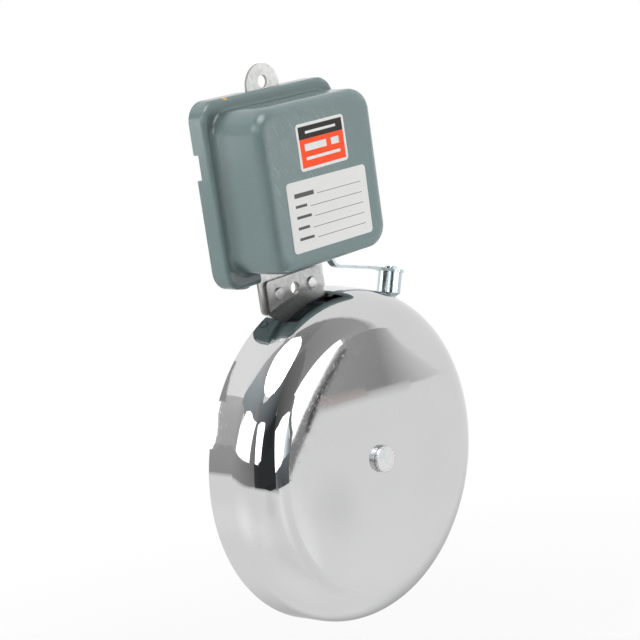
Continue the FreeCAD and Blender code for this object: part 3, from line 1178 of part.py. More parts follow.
def terminal_clamps():
    """Brass clamp plates on the floors of the bays."""
    plates = []
    for z in BAY_Z:
        plate = block((BLOCK_MIDDLE_X - CLAMP_LENGTH / 2, BLOCK_MIDDLE_X + CLAMP_LENGTH / 2),
                      (BAY_FLOOR_Y, BAY_FLOOR_Y - CLAMP_THICKNESS),
                      (z - BAY_HEIGHT / 2 + CLAMP_GAP, z + BAY_HEIGHT / 2 - CLAMP_GAP))
        plates.append(plate.cut(disc(BLOCK_MIDDLE_X, z, TERMINAL_SCREW_DIAMETER + 2 * SHANK_GAP,
                                     0, BLOCK_FRONT)))
    return Part.makeCompound(plates)


def terminal_screws():
    """One screw on each clamp plate."""
    seat = BAY_FLOOR_Y - CLAMP_THICKNESS
    return Part.makeCompound([slotted_screw(BLOCK_MIDDLE_X, z, seat, TERMINAL_SCREW_HEAD,
                                            TERMINAL_SCREW_HEAD_HEIGHT, TERMINAL_SCREW_DIAMETER,
                                            TERMINAL_SCREW_LENGTH) for z in BAY_Z])


def coil_leads():
    """The two insulated leads from the bobbin's right flange, behind the armature, to the bays."""
    start_x = BOBBIN_RIGHT + CONTACT_GAP
    back_y = PLATE_FRONT - LEAD_BACK
    bay_y = BAY_FLOOR_Y - LEAD_DIAMETER / 2 - CONTACT_GAP
    end_x = BLOCK_MIDDLE_X - CLAMP_LENGTH / 2 - CONTACT_GAP
    leads = []
    for start, climb, bay_z in zip(LEAD_STARTS, LEAD_CLIMBS, BAY_Z):
        z = COIL_LEG_Z + start
        route = [(start_x, back_y, z), (ARMATURE_LEFT, back_y, z),
                 (ARM_RIGHT, back_y - LEAD_LIFT, z + climb),
                 (BLOCK_LEFT - LEAD_TURN_BEFORE, bay_y, bay_z), (end_x, bay_y, bay_z)]
        tube, tightest = rounded_route(route, LEAD_DIAMETER)
        print("lead's tightest bend:", round(tightest, 2))
        leads.append(tube)
    return Part.makeCompound(leads)


def cable_grommet():
    """The rubber grommet in the base plate's cable hole."""
    front, back = PLATE_FRONT - GROMMET_LIP, GROMMET_LIP
    body = disc(GROMMET_X, GROMMET_Z, GROMMET_FLANGE, back, front)
    groove = ring(GROMMET_X, GROMMET_Z, GROMMET_FLANGE + CUT, GROMMET_HOLE - 2 * SHANK_GAP,
                  0, PLATE_FRONT)
    bore = disc(GROMMET_X, GROMMET_Z, GROMMET_BORE, back + CUT, front - CUT)
    return body.cut([groove, bore])


def earth_washer():
    """The brass washer under the earth screw."""
    return ring(EARTH_X, EARTH_Z, EARTH_WASHER_DIAMETER, EARTH_SCREW_DIAMETER + 2 * HOLE_CLEARANCE,
                PLATE_FRONT, PLATE_FRONT - EARTH_WASHER_THICKNESS)


def earth_screw():
    """The earth terminal's screw in the base plate."""
    seat = PLATE_FRONT - EARTH_WASHER_THICKNESS
    return slotted_screw(EARTH_X, EARTH_Z, seat, EARTH_SCREW_HEAD, EARTH_SCREW_HEAD_HEIGHT,
                         EARTH_SCREW_DIAMETER, SCREW_TAIL - seat)


# ------------------------------------------------------------------ all the pieces
def all_nodes():
    """Every sub-part by the name of its file."""
    return {
        "base_plate": base_plate(),
        "cover": cover(),
        "cover_screws": cover_screws(),
        "upper_label": upper_label(),
        "lower_label": lower_label(),
        "gong_bracket": gong_bracket(),
        "bracket_rivets": bracket_rivets(),
        "gong": gong(),
        "gong_face_washer": gong_face_washer(),
        "gong_bolt": gong_bolt(),
        "gong_seat_washer": gong_seat_washer(),
        "gong_spacer": gong_spacer(),
        "gong_lock_washer": gong_lock_washer(),
        "gong_nut": gong_nut(),
        "magnet_core": magnet_core(),
        "core_spacers": core_spacers(),
        "core_screws": core_screws(),
        "core_nuts": core_nuts(),
        "coil_bobbin": coil_bobbin(),
        "coil_winding": coil_winding(),
        "coil_wrap": coil_wrap(),
        "armature": armature(),
        "armature_bush": armature_bush(),
        "pivot_stud": pivot_stud(),
        "pivot_clip": pivot_clip(),
        "hammer_arm": hammer_arm(),
        "arm_rivets": arm_rivets(),
        "hammer_head": hammer_head(),
        "hammer_rivet": hammer_rivet(),
        "return_spring": return_spring(),
        "spring_post": spring_post(),
        "back_stop_post": back_stop_post(),
        "back_stop_sleeve": back_stop_sleeve(),
        "insulating_sheet": insulating_sheet(),
        "terminal_block": terminal_block(),
        "block_screw": block_screw(),
        "terminal_clamps": terminal_clamps(),
        "terminal_screws": terminal_screws(),
        "coil_leads": coil_leads(),
        "cable_grommet": cable_grommet(),
        "earth_washer": earth_washer(),
        "earth_screw": earth_screw(),
    }


os.makedirs("parts", exist_ok=True)
for name, shape in all_nodes().items():
    if not shape.isValid():
        print("not valid:", name)
    shape.exportStep(f"parts/{name}.step")
    print(f"{name}: {len(shape.Solids)} solid(s), {shape.Volume:.1f} mm3")
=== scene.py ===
"""An electric alarm bell with an outside hammer: its finishes, floor, studio light and camera."""

import bpy
import bmesh
from math import cos, pi, radians, sin
from mathutils import Matrix, Vector


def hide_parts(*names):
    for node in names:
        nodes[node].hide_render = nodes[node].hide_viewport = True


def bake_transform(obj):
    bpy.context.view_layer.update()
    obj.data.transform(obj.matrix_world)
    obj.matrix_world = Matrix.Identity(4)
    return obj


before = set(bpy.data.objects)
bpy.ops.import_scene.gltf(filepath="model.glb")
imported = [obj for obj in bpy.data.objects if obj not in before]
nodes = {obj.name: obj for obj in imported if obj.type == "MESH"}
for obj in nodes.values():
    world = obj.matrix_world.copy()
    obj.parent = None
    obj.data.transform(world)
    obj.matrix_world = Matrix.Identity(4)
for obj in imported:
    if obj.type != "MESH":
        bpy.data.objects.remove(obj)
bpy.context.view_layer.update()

MM = 0.001

# The middle of the gong: its axis runs along y, and the studio is laid out round it.
GONG_CENTRE = Vector((0.0, -0.03, -0.12185))

# The two labels: middle (x, z), size, and how far each is turned out of true, in degrees.
UPPER_LABEL_CENTRE = (0.4 * MM, 18.2 * MM)
UPPER_LABEL_TILT = -0.4
UPPER_LABEL_SIZE = (30 * MM, 20 * MM)
LOWER_LABEL_CENTRE = (-0.1 * MM, -10.2 * MM)
LOWER_LABEL_TILT = 0.6
LOWER_LABEL_SIZE = (50 * MM, 30 * MM)


# Nodes --------------------------------------------------------------------------------------

class Surface:
    """A material with one Principled shader, and short names for the nodes that feed it."""

    def __init__(self, name, colour, metallic, roughness, **plain):
        self.material = bpy.data.materials.new(name)
        self.material.use_nodes = True
        self.tree = self.material.node_tree
        self.shader = self.tree.nodes["Principled BSDF"]
        self.set("Base Color", colour)
        self.set("Metallic", metallic)
        self.set("Roughness", roughness)
        for socket, value in plain.items():
            self.set(socket.replace("_", " "), value)
        self.place = self.add("ShaderNodeTexCoord").outputs["Object"]
        split = self.add("ShaderNodeSeparateXYZ")
        self.tree.links.new(self.place, split.inputs[0])
        self.x, self.y, self.z = split.outputs
        self.relief = None

    def add(self, kind, **settings):
        node = self.tree.nodes.new(kind)
        for key, value in settings.items():
            setattr(node, key, value)
        return node

    def feed(self, socket, value):
        """Links an output to a socket, or sets the socket's own value."""
        if isinstance(value, bpy.types.NodeSocket):
            self.tree.links.new(value, socket)
        elif socket.type == "RGBA":
            socket.default_value = (*value, 1.0)
        else:
            socket.default_value = value

    def set(self, name, value):
        self.feed(self.shader.inputs[name], value)

    def math(self, operation, *values):
        node = self.add("ShaderNodeMath", operation=operation)
        for socket, value in zip(node.inputs, values):
            self.feed(socket, value)
        return node.outputs[0]

    def times(self, *values):
        product = values[0]
        for value in values[1:]:
            product = self.math("MULTIPLY", product, value)
        return product

    def most(self, *values):
        top = values[0]
        for value in values[1:]:
            top = self.math("MAXIMUM", top, value)
        return top

    def join(self, x, y, z):
        node = self.add("ShaderNodeCombineXYZ")
        for socket, value in zip(node.inputs, (x, y, z)):
            self.feed(socket, value)
        return node.outputs[0]

    def turned(self, angles, factors=(1, 1, 1)):
        """The place turned by angles in degrees, then stretched by factors."""
        node = self.add("ShaderNodeMapping", vector_type="POINT")
        self.feed(node.inputs["Vector"], self.place)
        node.inputs["Rotation"].default_value = [radians(angle) for angle in angles]
        stretch = self.add("ShaderNodeVectorMath", operation="MULTIPLY")
        self.feed(stretch.inputs[0], node.outputs[0])
        stretch.inputs[1].default_value = factors
        return stretch.outputs[0]

    def noise(self, size, detail=2.0, roughness=0.5, vector=None):
        """Soft noise from 0 to 1, with spots of about this size in metres."""
        node = self.add("ShaderNodeTexNoise")
        self.feed(node.inputs["Vector"], vector or self.place)
        node.inputs["Scale"].default_value = 0.5 / size
        node.inputs["Detail"].default_value = detail
        node.inputs["Roughness"].default_value = roughness
        return node.outputs["Fac"]

    def patches(self, size, vector=None):
        """A random grey for each of many small patches of this size in metres."""
        node = self.add("ShaderNodeTexVoronoi")
        self.feed(node.inputs["Vector"], vector or self.place)
        node.inputs["Scale"].default_value = 1 / size
        grey = self.add("ShaderNodeRGBToBW")
        self.feed(grey.inputs[0], node.outputs["Color"])
        return grey.outputs[0]

    def span(self, value, low, high, new_low=0.0, new_high=1.0):
        """Maps low..high smoothly to new_low..new_high, and holds it at the ends."""
        node = self.add("ShaderNodeMapRange", interpolation_type="SMOOTHSTEP")
        for socket, item in zip(node.inputs, (value, low, high, new_low, new_high)):
            self.feed(socket, item)
        return node.outputs[0]

    def mix(self, factor, first, second):
        node = self.add("ShaderNodeMix", data_type="RGBA")
        sockets = [s for s in node.inputs if s.enabled]
        for socket, value in zip(sockets, (factor, first, second)):
            self.feed(socket, value)
        return next(s for s in node.outputs if s.enabled)

    def raised(self, height, depth):
        """Raises the surface by depth metres where height is 1, on top of what is there."""
        node = self.add("ShaderNodeBump")
        node.inputs["Distance"].default_value = depth
        self.feed(node.inputs["Height"], height)
        if self.relief:
            self.feed(node.inputs["Normal"], self.relief)
        self.relief = node.outputs[0]
        self.set("Normal", self.relief)

    def facing(self, axis):
        """How squarely the surface faces along one axis (0, 1 or 2), from 0 to 1."""
        split = self.add("ShaderNodeSeparateXYZ")
        self.feed(split.inputs[0], self.add("ShaderNodeTexCoord").outputs["Normal"])
        return self.math("ABSOLUTE", split.outputs[axis])

    def near(self, point, radius, inner=0.7):
        """1 round a point, falling to 0 at this radius; inner is the share that stays 1."""
        node = self.add("ShaderNodeVectorMath", operation="DISTANCE")
        self.feed(node.inputs[0], self.place)
        node.inputs[1].default_value = point
        return self.span(node.outputs["Value"], inner * radius, radius, 1.0, 0.0)


def shade(colour, factor):
    return tuple(factor * part for part in colour)


def link_new(name, data):
    obj = bpy.data.objects.new(name, data)
    bpy.context.scene.collection.objects.link(obj)
    return obj


# Cover ----------------------------------------------------------------------------------------

PAINT = (0.150, 0.209, 0.209)
PAINT_CHIP = (-26.0 * MM, -3.4 * MM, 42.6 * MM)
PAINT_DENT = (19.5 * MM, 0.2 * MM, 42.9 * MM)
# The crease where the box meets its flange: painted shade there fades outwards and to the front.
FOLD_OUT = 41 * MM
FOLD_IN = 35 * MM
FOLD_BACK = -6 * MM
FOLD_FRONT = -15 * MM
SCUFF_CENTRE = (-16 * MM, -30.9 * MM, 18 * MM)


def cover_paint():
    """Satin enamel with a fine orange peel, a scuffed front and hairline scratches."""
    s = Surface("cover_paint", PAINT, 0.0, 0.17, Specular_IOR_Level=0.5)
    cloud = s.span(s.noise(9 * MM, 3), 0.3, 0.7)
    grain = s.span(s.noise(0.35 * MM, 2), 0.3, 0.7)
    colour = s.mix(cloud, shade(PAINT, 0.985), shade(PAINT, 1.015))
    colour = s.mix(s.times(grain, 0.5), colour, shade(PAINT, 1.16))

    hairs = s.noise(0.16 * MM, 1, vector=s.turned((0, 28, 0), (1, 1, 0.035)))
    cross = s.noise(0.14 * MM, 1, vector=s.turned((0, -35, 0), (1, 1, 0.05)))
    where = s.span(s.noise(14 * MM, 2), 0.42, 0.62)
    scuff = s.times(s.near(SCUFF_CENTRE, 55 * MM, 0.1), s.span(s.facing(1), 0.5, 1.0))
    marks = s.most(s.span(hairs, 0.63, 0.72), s.times(0.7, s.span(cross, 0.66, 0.74)))
    marks = s.times(marks, s.most(s.times(where, 0.3, s.span(s.facing(1), 0.3, 0.8)), scuff))
    colour = s.mix(s.times(marks, 0.22), colour, (0.36, 0.40, 0.39))
    # a faint lighter veil over the scuffed front: partly the scuff's own haze, partly painted sheen
    haze = s.times(scuff, s.span(s.noise(6 * MM, 3), 0.25, 0.75, 0.0, 0.06))
    colour = s.mix(haze, colour, (0.36, 0.38, 0.375))
    beside = s.times(s.span(s.math("ABSOLUTE", s.x), FOLD_OUT, FOLD_IN),
                     s.span(s.math("ABSOLUTE", s.z), FOLD_OUT, FOLD_IN))
    fold_shade = s.times(beside, s.span(s.y, FOLD_FRONT, FOLD_BACK))
    colour = s.mix(s.near(PAINT_CHIP, 1.3 * MM), colour, (0.62, 0.35, 0.07))
    colour = s.mix(s.near(PAINT_DENT, 0.9 * MM), colour, (0.05, 0.055, 0.05))
    # painted shade: the flange face darkens into the crease beside the box, where shade falls
    colour = s.mix(s.times(fold_shade, 0.62), colour, shade(PAINT, 0.30))
    s.set("Base Color", colour)
    worn = s.math("ADD", s.times(scuff, 0.10), s.times(marks, 0.12))
    s.set("Roughness", s.math("ADD", worn, s.span(s.noise(4 * MM, 3), 0.2, 0.8, 0.15, 0.18)))
    s.raised(s.noise(0.9 * MM, 2, 0.4), 0.003 * MM)
    s.raised(grain, 0.0005 * MM)
    s.raised(marks, -0.001 * MM)
    return s.material


# Labels ---------------------------------------------------------------------------------------

PAPER = (0.70, 0.70, 0.69)
PRINT_RED = (0.95, 0.075, 0.012)
PRINT_BLACK = (0.032, 0.029, 0.026)
PRINT_GREY = (0.10, 0.10, 0.10)
PRINT_BLUR = 0.06 * MM
UPPER_LABEL_MARGIN = 1.3 * MM
LOWER_LABEL_MARGIN = 4 * MM
UPPER_LABEL_BAND = 5.4 * MM


class Label(Surface):
    """Glossy printed paper, with u and v measured from the middle of the label."""

    def __init__(self, name, centre, tilt):
        super().__init__(name, PAPER, 0.0, 0.45, Specular_IOR_Level=0.12)
        across = self.math("SUBTRACT", self.x, centre[0])
        upright = self.math("SUBTRACT", self.z, centre[1])
        c, t = cos(radians(tilt)), sin(radians(tilt))
        self.u = self.math("SUBTRACT", self.times(across, c), self.times(upright, t))
        self.v = self.math("ADD", self.times(across, t), self.times(upright, c))
        fibre = self.noise(0.3 * MM, 3, 0.6)
        self.colour = self.mix(self.span(fibre, 0.3, 0.7), shade(PAPER, 0.985), PAPER)
        self.raised(self.noise(1.6 * MM, 2), 0.004 * MM)
        self.raised(fibre, 0.0008 * MM)

    def bar(self, u, v, width, height):
        """1 inside a printed bar of this middle and size."""
        inside = []
        for value, middle, size in ((self.u, u, width), (self.v, v, height)):
            off = self.math("ABSOLUTE", self.math("SUBTRACT", value, middle))
            inside.append(self.span(off, size / 2 + PRINT_BLUR, size / 2 - PRINT_BLUR))
        return self.times(*inside)

    def print(self, mask, ink):
        self.colour = self.mix(mask, self.colour, ink)

    def done(self):
        self.set("Base Color", self.colour)
        return self.material


def upper_label():
    """A plain design: a black band over an orange-red field, each with white bars."""
    s = Label("upper_label", UPPER_LABEL_CENTRE, UPPER_LABEL_TILT)
    width, height = (size - 2 * UPPER_LABEL_MARGIN for size in UPPER_LABEL_SIZE)
    band = UPPER_LABEL_BAND
    ink = s.span(s.noise(0.5 * MM, 3), 0.3, 0.7)
    red = s.mix(ink, shade(PRINT_RED, 0.96), PRINT_RED)
    s.print(s.bar(0, -band / 2, width, height - band), red)
    s.print(s.bar(0, (height - band) / 2, width, band), PRINT_BLACK)
    white = s.most(
        s.bar(0, (height - band) / 2, 19 * MM, 1.1 * MM),
        s.bar(-4.2 * MM, -0.3 * MM, 13.5 * MM, 3.0 * MM),
        s.bar(8.0 * MM, -0.3 * MM, 5.0 * MM, 3.0 * MM),
        s.bar(0, -5.0 * MM, 21.5 * MM, 1.3 * MM),
    )
    s.print(white, shade(PAPER, 1.02))
    return s.done()


def lower_label():
    """A blank data plate: ruled rows with a plain bar before each, and nothing written in."""
    s = Label("lower_label", LOWER_LABEL_CENTRE, LOWER_LABEL_TILT)
    rows = [9.0 * MM - 4.6 * MM * row for row in range(5)]
    captions = [(12 * MM, 1.9 * MM), (7 * MM, 1.2 * MM), (9 * MM, 1.2 * MM), (7 * MM, 1.2 * MM),
                (9 * MM, 1.2 * MM)]
    right = LOWER_LABEL_SIZE[0] / 2 - LOWER_LABEL_MARGIN
    left = -right
    for row, (length, thickness) in zip(rows, captions):
        s.print(s.bar(left + length / 2, row, length, thickness), PRINT_GREY)
        start = left + length + 2 * MM
        rule = s.bar((start + right) / 2, row - 0.9 * MM, right - start, 0.28 * MM)
        s.print(rule, shade(PRINT_GREY, 1.5))
    return s.done()


# Metals ---------------------------------------------------------------------------------------

ZINC = (0.60, 0.605, 0.60)
CUT_STEEL = (0.36, 0.34, 0.32)


def zinc_sheet(name, tone, sheared, gap=0.0):
    """Zinc-coated sheet: small soft spangle, handling marks, and dull edges where sheared.

    gap sets how much painted shade darkens the narrow sides that face along x, for the shadow in the
    gap beside them.
    """
    s = Surface(name, ZINC, 1.0, 0.45)
    spangle = s.patches(1.5 * MM, vector=s.turned((0, 20, 0), (1, 1, 0.7)))
    fine = s.noise(0.45 * MM, 3, 0.6)
    streak = s.noise(0.5 * MM, 2, vector=s.turned((0, 6, 0), (1, 1, 0.12)))
    cloud = s.span(s.noise(6 * MM, 3), 0.3, 0.7)
    value = s.math("ADD", s.times(spangle, 0.35), s.times(fine, 0.4))
    value = s.math("ADD", value, s.times(streak, 0.25))
    value = s.span(value, 0.28, 0.62)
    colour = s.mix(value, shade(ZINC, 0.88 * tone), shade(ZINC, 1.06 * tone))
    colour = s.mix(s.times(cloud, 0.2), colour, shade((0.56, 0.54, 0.50), tone))
    edge = s.times(sheared, s.span(s.facing(1), 0.75, 0.35))
    # painted shade on the sides facing along x: the shadow in the gap between the bracket and the
    # plate behind
    gap_shade = s.times(gap, s.span(s.facing(0), 0.5, 0.9))
    colour = s.mix(edge, colour, CUT_STEEL)
    s.set("Base Color", s.mix(gap_shade, colour, shade(CUT_STEEL, 0.3)))
    s.set("Roughness", s.math("MAXIMUM", s.times(edge, 0.62), s.span(value, 0, 1, 0.48, 0.42)))
    s.raised(fine, 0.006 * MM)
    s.raised(streak, 0.004 * MM)
    return s.material


def gong_polish():
    """Bright polished plate with fine buffing lines that run round the gong."""
    s = Surface("gong_polish", (0.615, 0.615, 0.62), 1.0, 0.09)
    height = s.math("SUBTRACT", s.z, GONG_CENTRE.z)
    radius = s.math("SQRT", s.math("ADD", s.times(s.x, s.x), s.times(height, height)))
    angle = s.math("ARCTAN2", height, s.x)
    arc = s.times(angle, 6 * MM)
    ring = s.join(radius, s.y, arc)
    long_ring = s.join(radius, s.y, s.times(angle, 1.2 * MM))
    lines = s.noise(0.25 * MM, 3, 0.6, vector=ring)
    broad = s.noise(1.6 * MM, 2, vector=long_ring)
    cloud = s.noise(22 * MM, 3)
    haze = s.span(cloud, 0.35, 0.75)
    deep = s.span(s.noise(0.10 * MM, 1, vector=ring), 0.62, 0.72)
    pit = s.span(s.patches(0.9 * MM), 0.86, 0.90)
    colour = s.mix(haze, (0.620, 0.620, 0.624), (0.600, 0.600, 0.602))
    colour = s.mix(s.times(deep, 0.12), colour, (0.74, 0.74, 0.74))
    colour = s.mix(s.times(pit, 0.10), colour, (0.50, 0.50, 0.49))
    s.set("Base Color", colour)
    rough = s.math("ADD", s.span(haze, 0, 1, 0.022, 0.04), s.times(deep, 0.05))
    s.set("Roughness", s.math("ADD", rough, s.times(pit, 0.03)))
    s.raised(broad, 0.0005 * MM)
    s.raised(lines, 0.00012 * MM)
    return s.material


def bright_zinc(name, colour, roughness):
    """Bright zinc plate: a cool tint, soft clouds and fine lines along the part."""
    s = Surface(name, colour, 1.0, roughness)
    cloud = s.span(s.noise(2.5 * MM, 3), 0.3, 0.7)
    lines = s.noise(0.12 * MM, 2, vector=s.turned((0, 0, 0), (1, 1, 0.06)))
    tinted = (0.93 * colour[0], 0.98 * colour[1], 1.03 * colour[2])
    s.set("Base Color", s.mix(cloud, colour, tinted))
    s.set("Roughness", s.span(cloud, 0, 1, roughness - 0.04, roughness + 0.06))
    s.raised(lines, 0.0012 * MM)
    s.raised(s.noise(0.8 * MM, 2), 0.004 * MM)
    return s.material


def aluminium_rivet():
    """Set rivets: pale soft metal with hammer flats and a fine grain."""
    s = Surface("aluminium_rivet", (0.74, 0.74, 0.73), 1.0, 0.36)
    flats = s.patches(1.2 * MM)
    fine = s.noise(0.2 * MM, 3)
    s.set("Base Color", s.mix(flats, (0.68, 0.68, 0.67), (0.80, 0.80, 0.79)))
    s.set("Roughness", s.span(fine, 0.3, 0.7, 0.32, 0.46))
    s.raised(s.noise(0.9 * MM, 2), 0.03 * MM)
    s.raised(fine, 0.003 * MM)
    return s.material


def core_steel():
    """A stack of thin magnet sheets: fine dark gaps between them, and a thin oxide."""
    s = Surface("core_steel", (0.30, 0.30, 0.31), 1.0, 0.42)
    sheet = s.math("PINGPONG", s.y, 0.25 * MM)
    gap = s.span(sheet, 0.03 * MM, 0.0)
    rust = s.span(s.noise(3 * MM, 4, 0.6), 0.55, 0.75, 0.0, 0.5)
    colour = s.mix(rust, (0.30, 0.30, 0.31), (0.22, 0.13, 0.08))
    s.set("Base Color", s.mix(s.times(gap, 0.7), colour, (0.03, 0.03, 0.03)))
    s.set("Roughness", s.span(rust, 0, 0.5, 0.4, 0.62))
    s.raised(gap, -0.02 * MM)
    s.raised(s.noise(0.4 * MM, 3), 0.005 * MM)
    return s.material


def turned_metal(name, colour, dark, roughness):
    """Brass and spring steel: clouds of tarnish over fine drawing lines."""
    s = Surface(name, colour, 1.0, roughness)
    tarnish = s.span(s.noise(1.8 * MM, 4, 0.6), 0.35, 0.75)
    lines = s.noise(0.08 * MM, 2, vector=s.turned((0, 0, 0), (1, 0.08, 1)))
    s.set("Base Color", s.mix(tarnish, colour, dark))
    s.set("Roughness", s.span(tarnish, 0, 1, roughness, roughness + 0.15))
    s.raised(lines, 0.0015 * MM)
    return s.material


# Coil, block and leads ------------------------------------------------------------------------

WIRE = 0.22 * MM


def copper_wire():
    """Enamelled wire, turn beside turn, up the coil."""
    s = Surface("copper_wire", (0.45, 0.15, 0.06), 0.75, 0.28, Coat_Weight=0.4)
    turn = s.math("PINGPONG", s.z, WIRE / 2)
    crown = s.span(turn, 0.0, WIRE / 2)
    # painted shade and light: the grooves between turns are darker and the crowns lighter
    colour = s.mix(crown, (0.14, 0.035, 0.014), (0.62, 0.24, 0.10))
    s.set("Base Color", s.mix(s.times(s.noise(2 * MM, 3), 0.4), colour, (0.40, 0.12, 0.05)))
    s.set("Roughness", s.span(crown, 0, 1, 0.45, 0.24))
    s.raised(crown, 0.06 * MM)
    return s.material


def wrap_film():
    """Dark grey-green film wound over the coil, with lapped edges and small wrinkles."""
    s = Surface("wrap_film", (0.030, 0.044, 0.044), 0.0, 0.30)
    wrinkle = s.noise(1.2 * MM, 3, vector=s.turned((0, 12, 0), (0.35, 1, 1)))
    lap = s.span(s.math("PINGPONG", s.math("ADD", s.z, s.times(s.x, 0.12)), 3.2 * MM),
                 0.0, 0.12 * MM)
    colour = s.mix(s.span(wrinkle, 0.3, 0.7), (0.026, 0.038, 0.038), (0.034, 0.050, 0.050))
    s.set("Base Color", s.mix(s.math("SUBTRACT", 1.0, lap), colour, (0.010, 0.015, 0.015)))
    s.set("Roughness", s.span(wrinkle, 0.3, 0.7, 0.20, 0.36))
    s.raised(wrinkle, 0.05 * MM)
    s.raised(lap, 0.04 * MM)
    return s.material


def moulded(name, colour, roughness, spark=0.0005):
    """Moulded plastic or rubber: a fine spark-eroded grain, faint flow marks and dust."""
    s = Surface(name, colour, 0.0, roughness)
    flow = s.span(s.noise(4 * MM, 3), 0.3, 0.7)
    grain = s.noise(0.18 * MM, 2)
    dust = s.times(s.span(s.noise(1.1 * MM, 4, 0.65), 0.58, 0.78), 0.12)
    tone = s.mix(flow, shade(colour, 0.90), shade(colour, 1.08))
    s.set("Base Color", s.mix(dust, tone, (0.45, 0.43, 0.40)))
    s.set("Roughness", s.span(grain, 0.3, 0.7, roughness - 0.06, roughness + 0.08))
    s.raised(grain, spark * 10 * MM)
    return s.material


def fibre():
    """Pressed red-brown fibre board, with short hairs in it."""
    s = Surface("fibre", (0.26, 0.075, 0.035), 0.0, 0.7)
    hairs = s.noise(0.15 * MM, 2, vector=s.turned((0, 40, 0), (1, 1, 0.1)))
    mottle = s.noise(1.5 * MM, 3)
    tone = s.mix(s.span(mottle, 0.3, 0.7), (0.20, 0.055, 0.028), (0.31, 0.095, 0.045))
    s.set("Base Color", s.mix(s.span(hairs, 0.6, 0.75), tone, (0.42, 0.20, 0.11)))
    s.set("Roughness", s.span(mottle, 0.3, 0.7, 0.62, 0.78))
    s.raised(hairs, 0.008 * MM)
    return s.material


FINISHES = {
    "cover_paint": cover_paint(),
    "galvanised_sheet": zinc_sheet("galvanised_sheet", 1.18, 1.0),
    "gong_polish": gong_polish(),
    "arm_zinc": bright_zinc("arm_zinc", (0.53, 0.59, 0.60), 0.19),
    "zinc_steel": bright_zinc("zinc_steel", (0.64, 0.64, 0.63), 0.40),
    "aluminium_rivet": aluminium_rivet(),
    "upper_label": upper_label(),
    "lower_label": lower_label(),
    "core_steel": core_steel(),
    "bobbin_plastic": moulded("bobbin_plastic", (0.028, 0.028, 0.030), 0.45),
    "copper_wire": copper_wire(),
    "wrap_film": wrap_film(),
    "spring_steel": turned_metal("spring_steel", (0.52, 0.52, 0.53), (0.38, 0.36, 0.34), 0.22),
    "brass": turned_metal("brass", (0.72, 0.50, 0.20), (0.42, 0.27, 0.11), 0.26),
    "rubber": moulded("rubber", (0.018, 0.018, 0.018), 0.68, 0.0008),
    "fibre": fibre(),
    "block_plastic": moulded("block_plastic", (0.045, 0.043, 0.042), 0.40),
    "lead_insulation": moulded("lead_insulation", (0.010, 0.16, 0.42), 0.38, 0.0002),
}
for node in nodes.values():
    slot = node.data.materials[0].name
    node.data.materials[0] = FINISHES[slot]
# the bracket's sides along x get painted gap shade
nodes["gong_bracket"].data.materials[0] = zinc_sheet("bracket_sheet", 0.95, 0.0, 0.85)
nodes["cover_screws"].data.materials[0] = FINISHES["cover_paint"]


spring = link_new("stretched_spring", nodes["return_spring"].data.copy())
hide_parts("return_spring")
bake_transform(spring)


# Studio ---------------------------------------------------------------------------------------

FLOOR_HEIGHT = -0.40
FLOOR_RADIUS = 0.85
FLOOR_SEGMENTS = 128
# How much of the floor's background is glow: this under the bell, and all of it near the rim.
FLOOR_GLOW = 0.7
GLOW_RISES_FROM = 0.4 * FLOOR_RADIUS
GLOW_FULL_FROM = 0.95 * FLOOR_RADIUS
POOL_HEIGHT = 0.004           # of the soft patches above the floor
WORLD_LEVEL = 0.27

# How far from the gong's middle a card stands, and by which share each layer stands nearer.
FAR = 20.0
BESIDE_CAMERA = 0.7
NEAR = 0.45
LAYER_STEP = 0.02

SOFTBOX = 2.8                 # light level of a softbox
LAMP_DISTANCE = 1.6
LAMP_SIZE = 0.9
WHITE = (1.0, 1.0, 1.0)
COOL = (0.91, 1.01, 1.06)
WARM = (1.06, 0.985, 0.94)


def background_rays(tree):
    """1 for the rays that show the background: camera, glossy and transmission rays."""
    path = tree.nodes.new("ShaderNodeLightPath")
    total = path.outputs["Is Camera Ray"]
    for name in ("Is Glossy Ray", "Is Transmission Ray"):
        node = tree.nodes.new("ShaderNodeMath")
        node.operation = "MAXIMUM"
        tree.links.new(total, node.inputs[0])
        tree.links.new(path.outputs[name], node.inputs[1])
        total = node.outputs[0]
    return total


def make_world():
    """Even white behind everything, and a lower even light on the object."""
    world = bpy.data.worlds.new("studio")
    world.use_nodes = True
    tree = world.node_tree
    tree.nodes.clear()
    both = tree.nodes.new("ShaderNodeMixShader")
    tree.links.new(background_rays(tree), both.inputs[0])
    for slot, strength in ((1, WORLD_LEVEL), (2, 1.0)):
        light = tree.nodes.new("ShaderNodeBackground")
        light.inputs["Color"].default_value = (1, 1, 1, 1)
        light.inputs["Strength"].default_value = strength
        tree.links.new(light.outputs[0], both.inputs[slot])
    output = tree.nodes.new("ShaderNodeOutputWorld")
    tree.links.new(both.outputs[0], output.inputs["Surface"])
    bpy.context.scene.world = world


def make_floor():
    """A plain white floor below the bell, which keeps its shadow."""
    bm = bmesh.new()
    bmesh.ops.create_circle(bm, cap_ends=True, segments=FLOOR_SEGMENTS, radius=FLOOR_RADIUS)
    mesh = bpy.data.meshes.new("floor")
    bm.to_mesh(mesh)
    bm.free()
    obj = link_new("floor", mesh)
    obj.location = (GONG_CENTRE.x, GONG_CENTRE.y, FLOOR_HEIGHT)
    s = Surface("floor", (0.93, 0.93, 0.93), 0.0, 0.9)
    s.set("Base Color", s.mix(s.noise(30 * MM, 3), (0.92, 0.92, 0.92), (0.95, 0.95, 0.95)))
    glow = s.add("ShaderNodeEmission")
    both = s.add("ShaderNodeMixShader")
    distance = s.math("SQRT", s.math("ADD", s.times(s.x, s.x), s.times(s.y, s.y)))
    share = s.span(distance, GLOW_RISES_FROM, GLOW_FULL_FROM, FLOOR_GLOW, 1.0)
    s.feed(both.inputs[0], s.times(background_rays(s.tree), share))
    s.feed(both.inputs[1], s.shader.outputs[0])
    s.feed(both.inputs[2], glow.outputs[0])
    s.feed(s.tree.nodes["Material Output"].inputs["Surface"], both.outputs[0])
    mesh.materials.append(s.material)


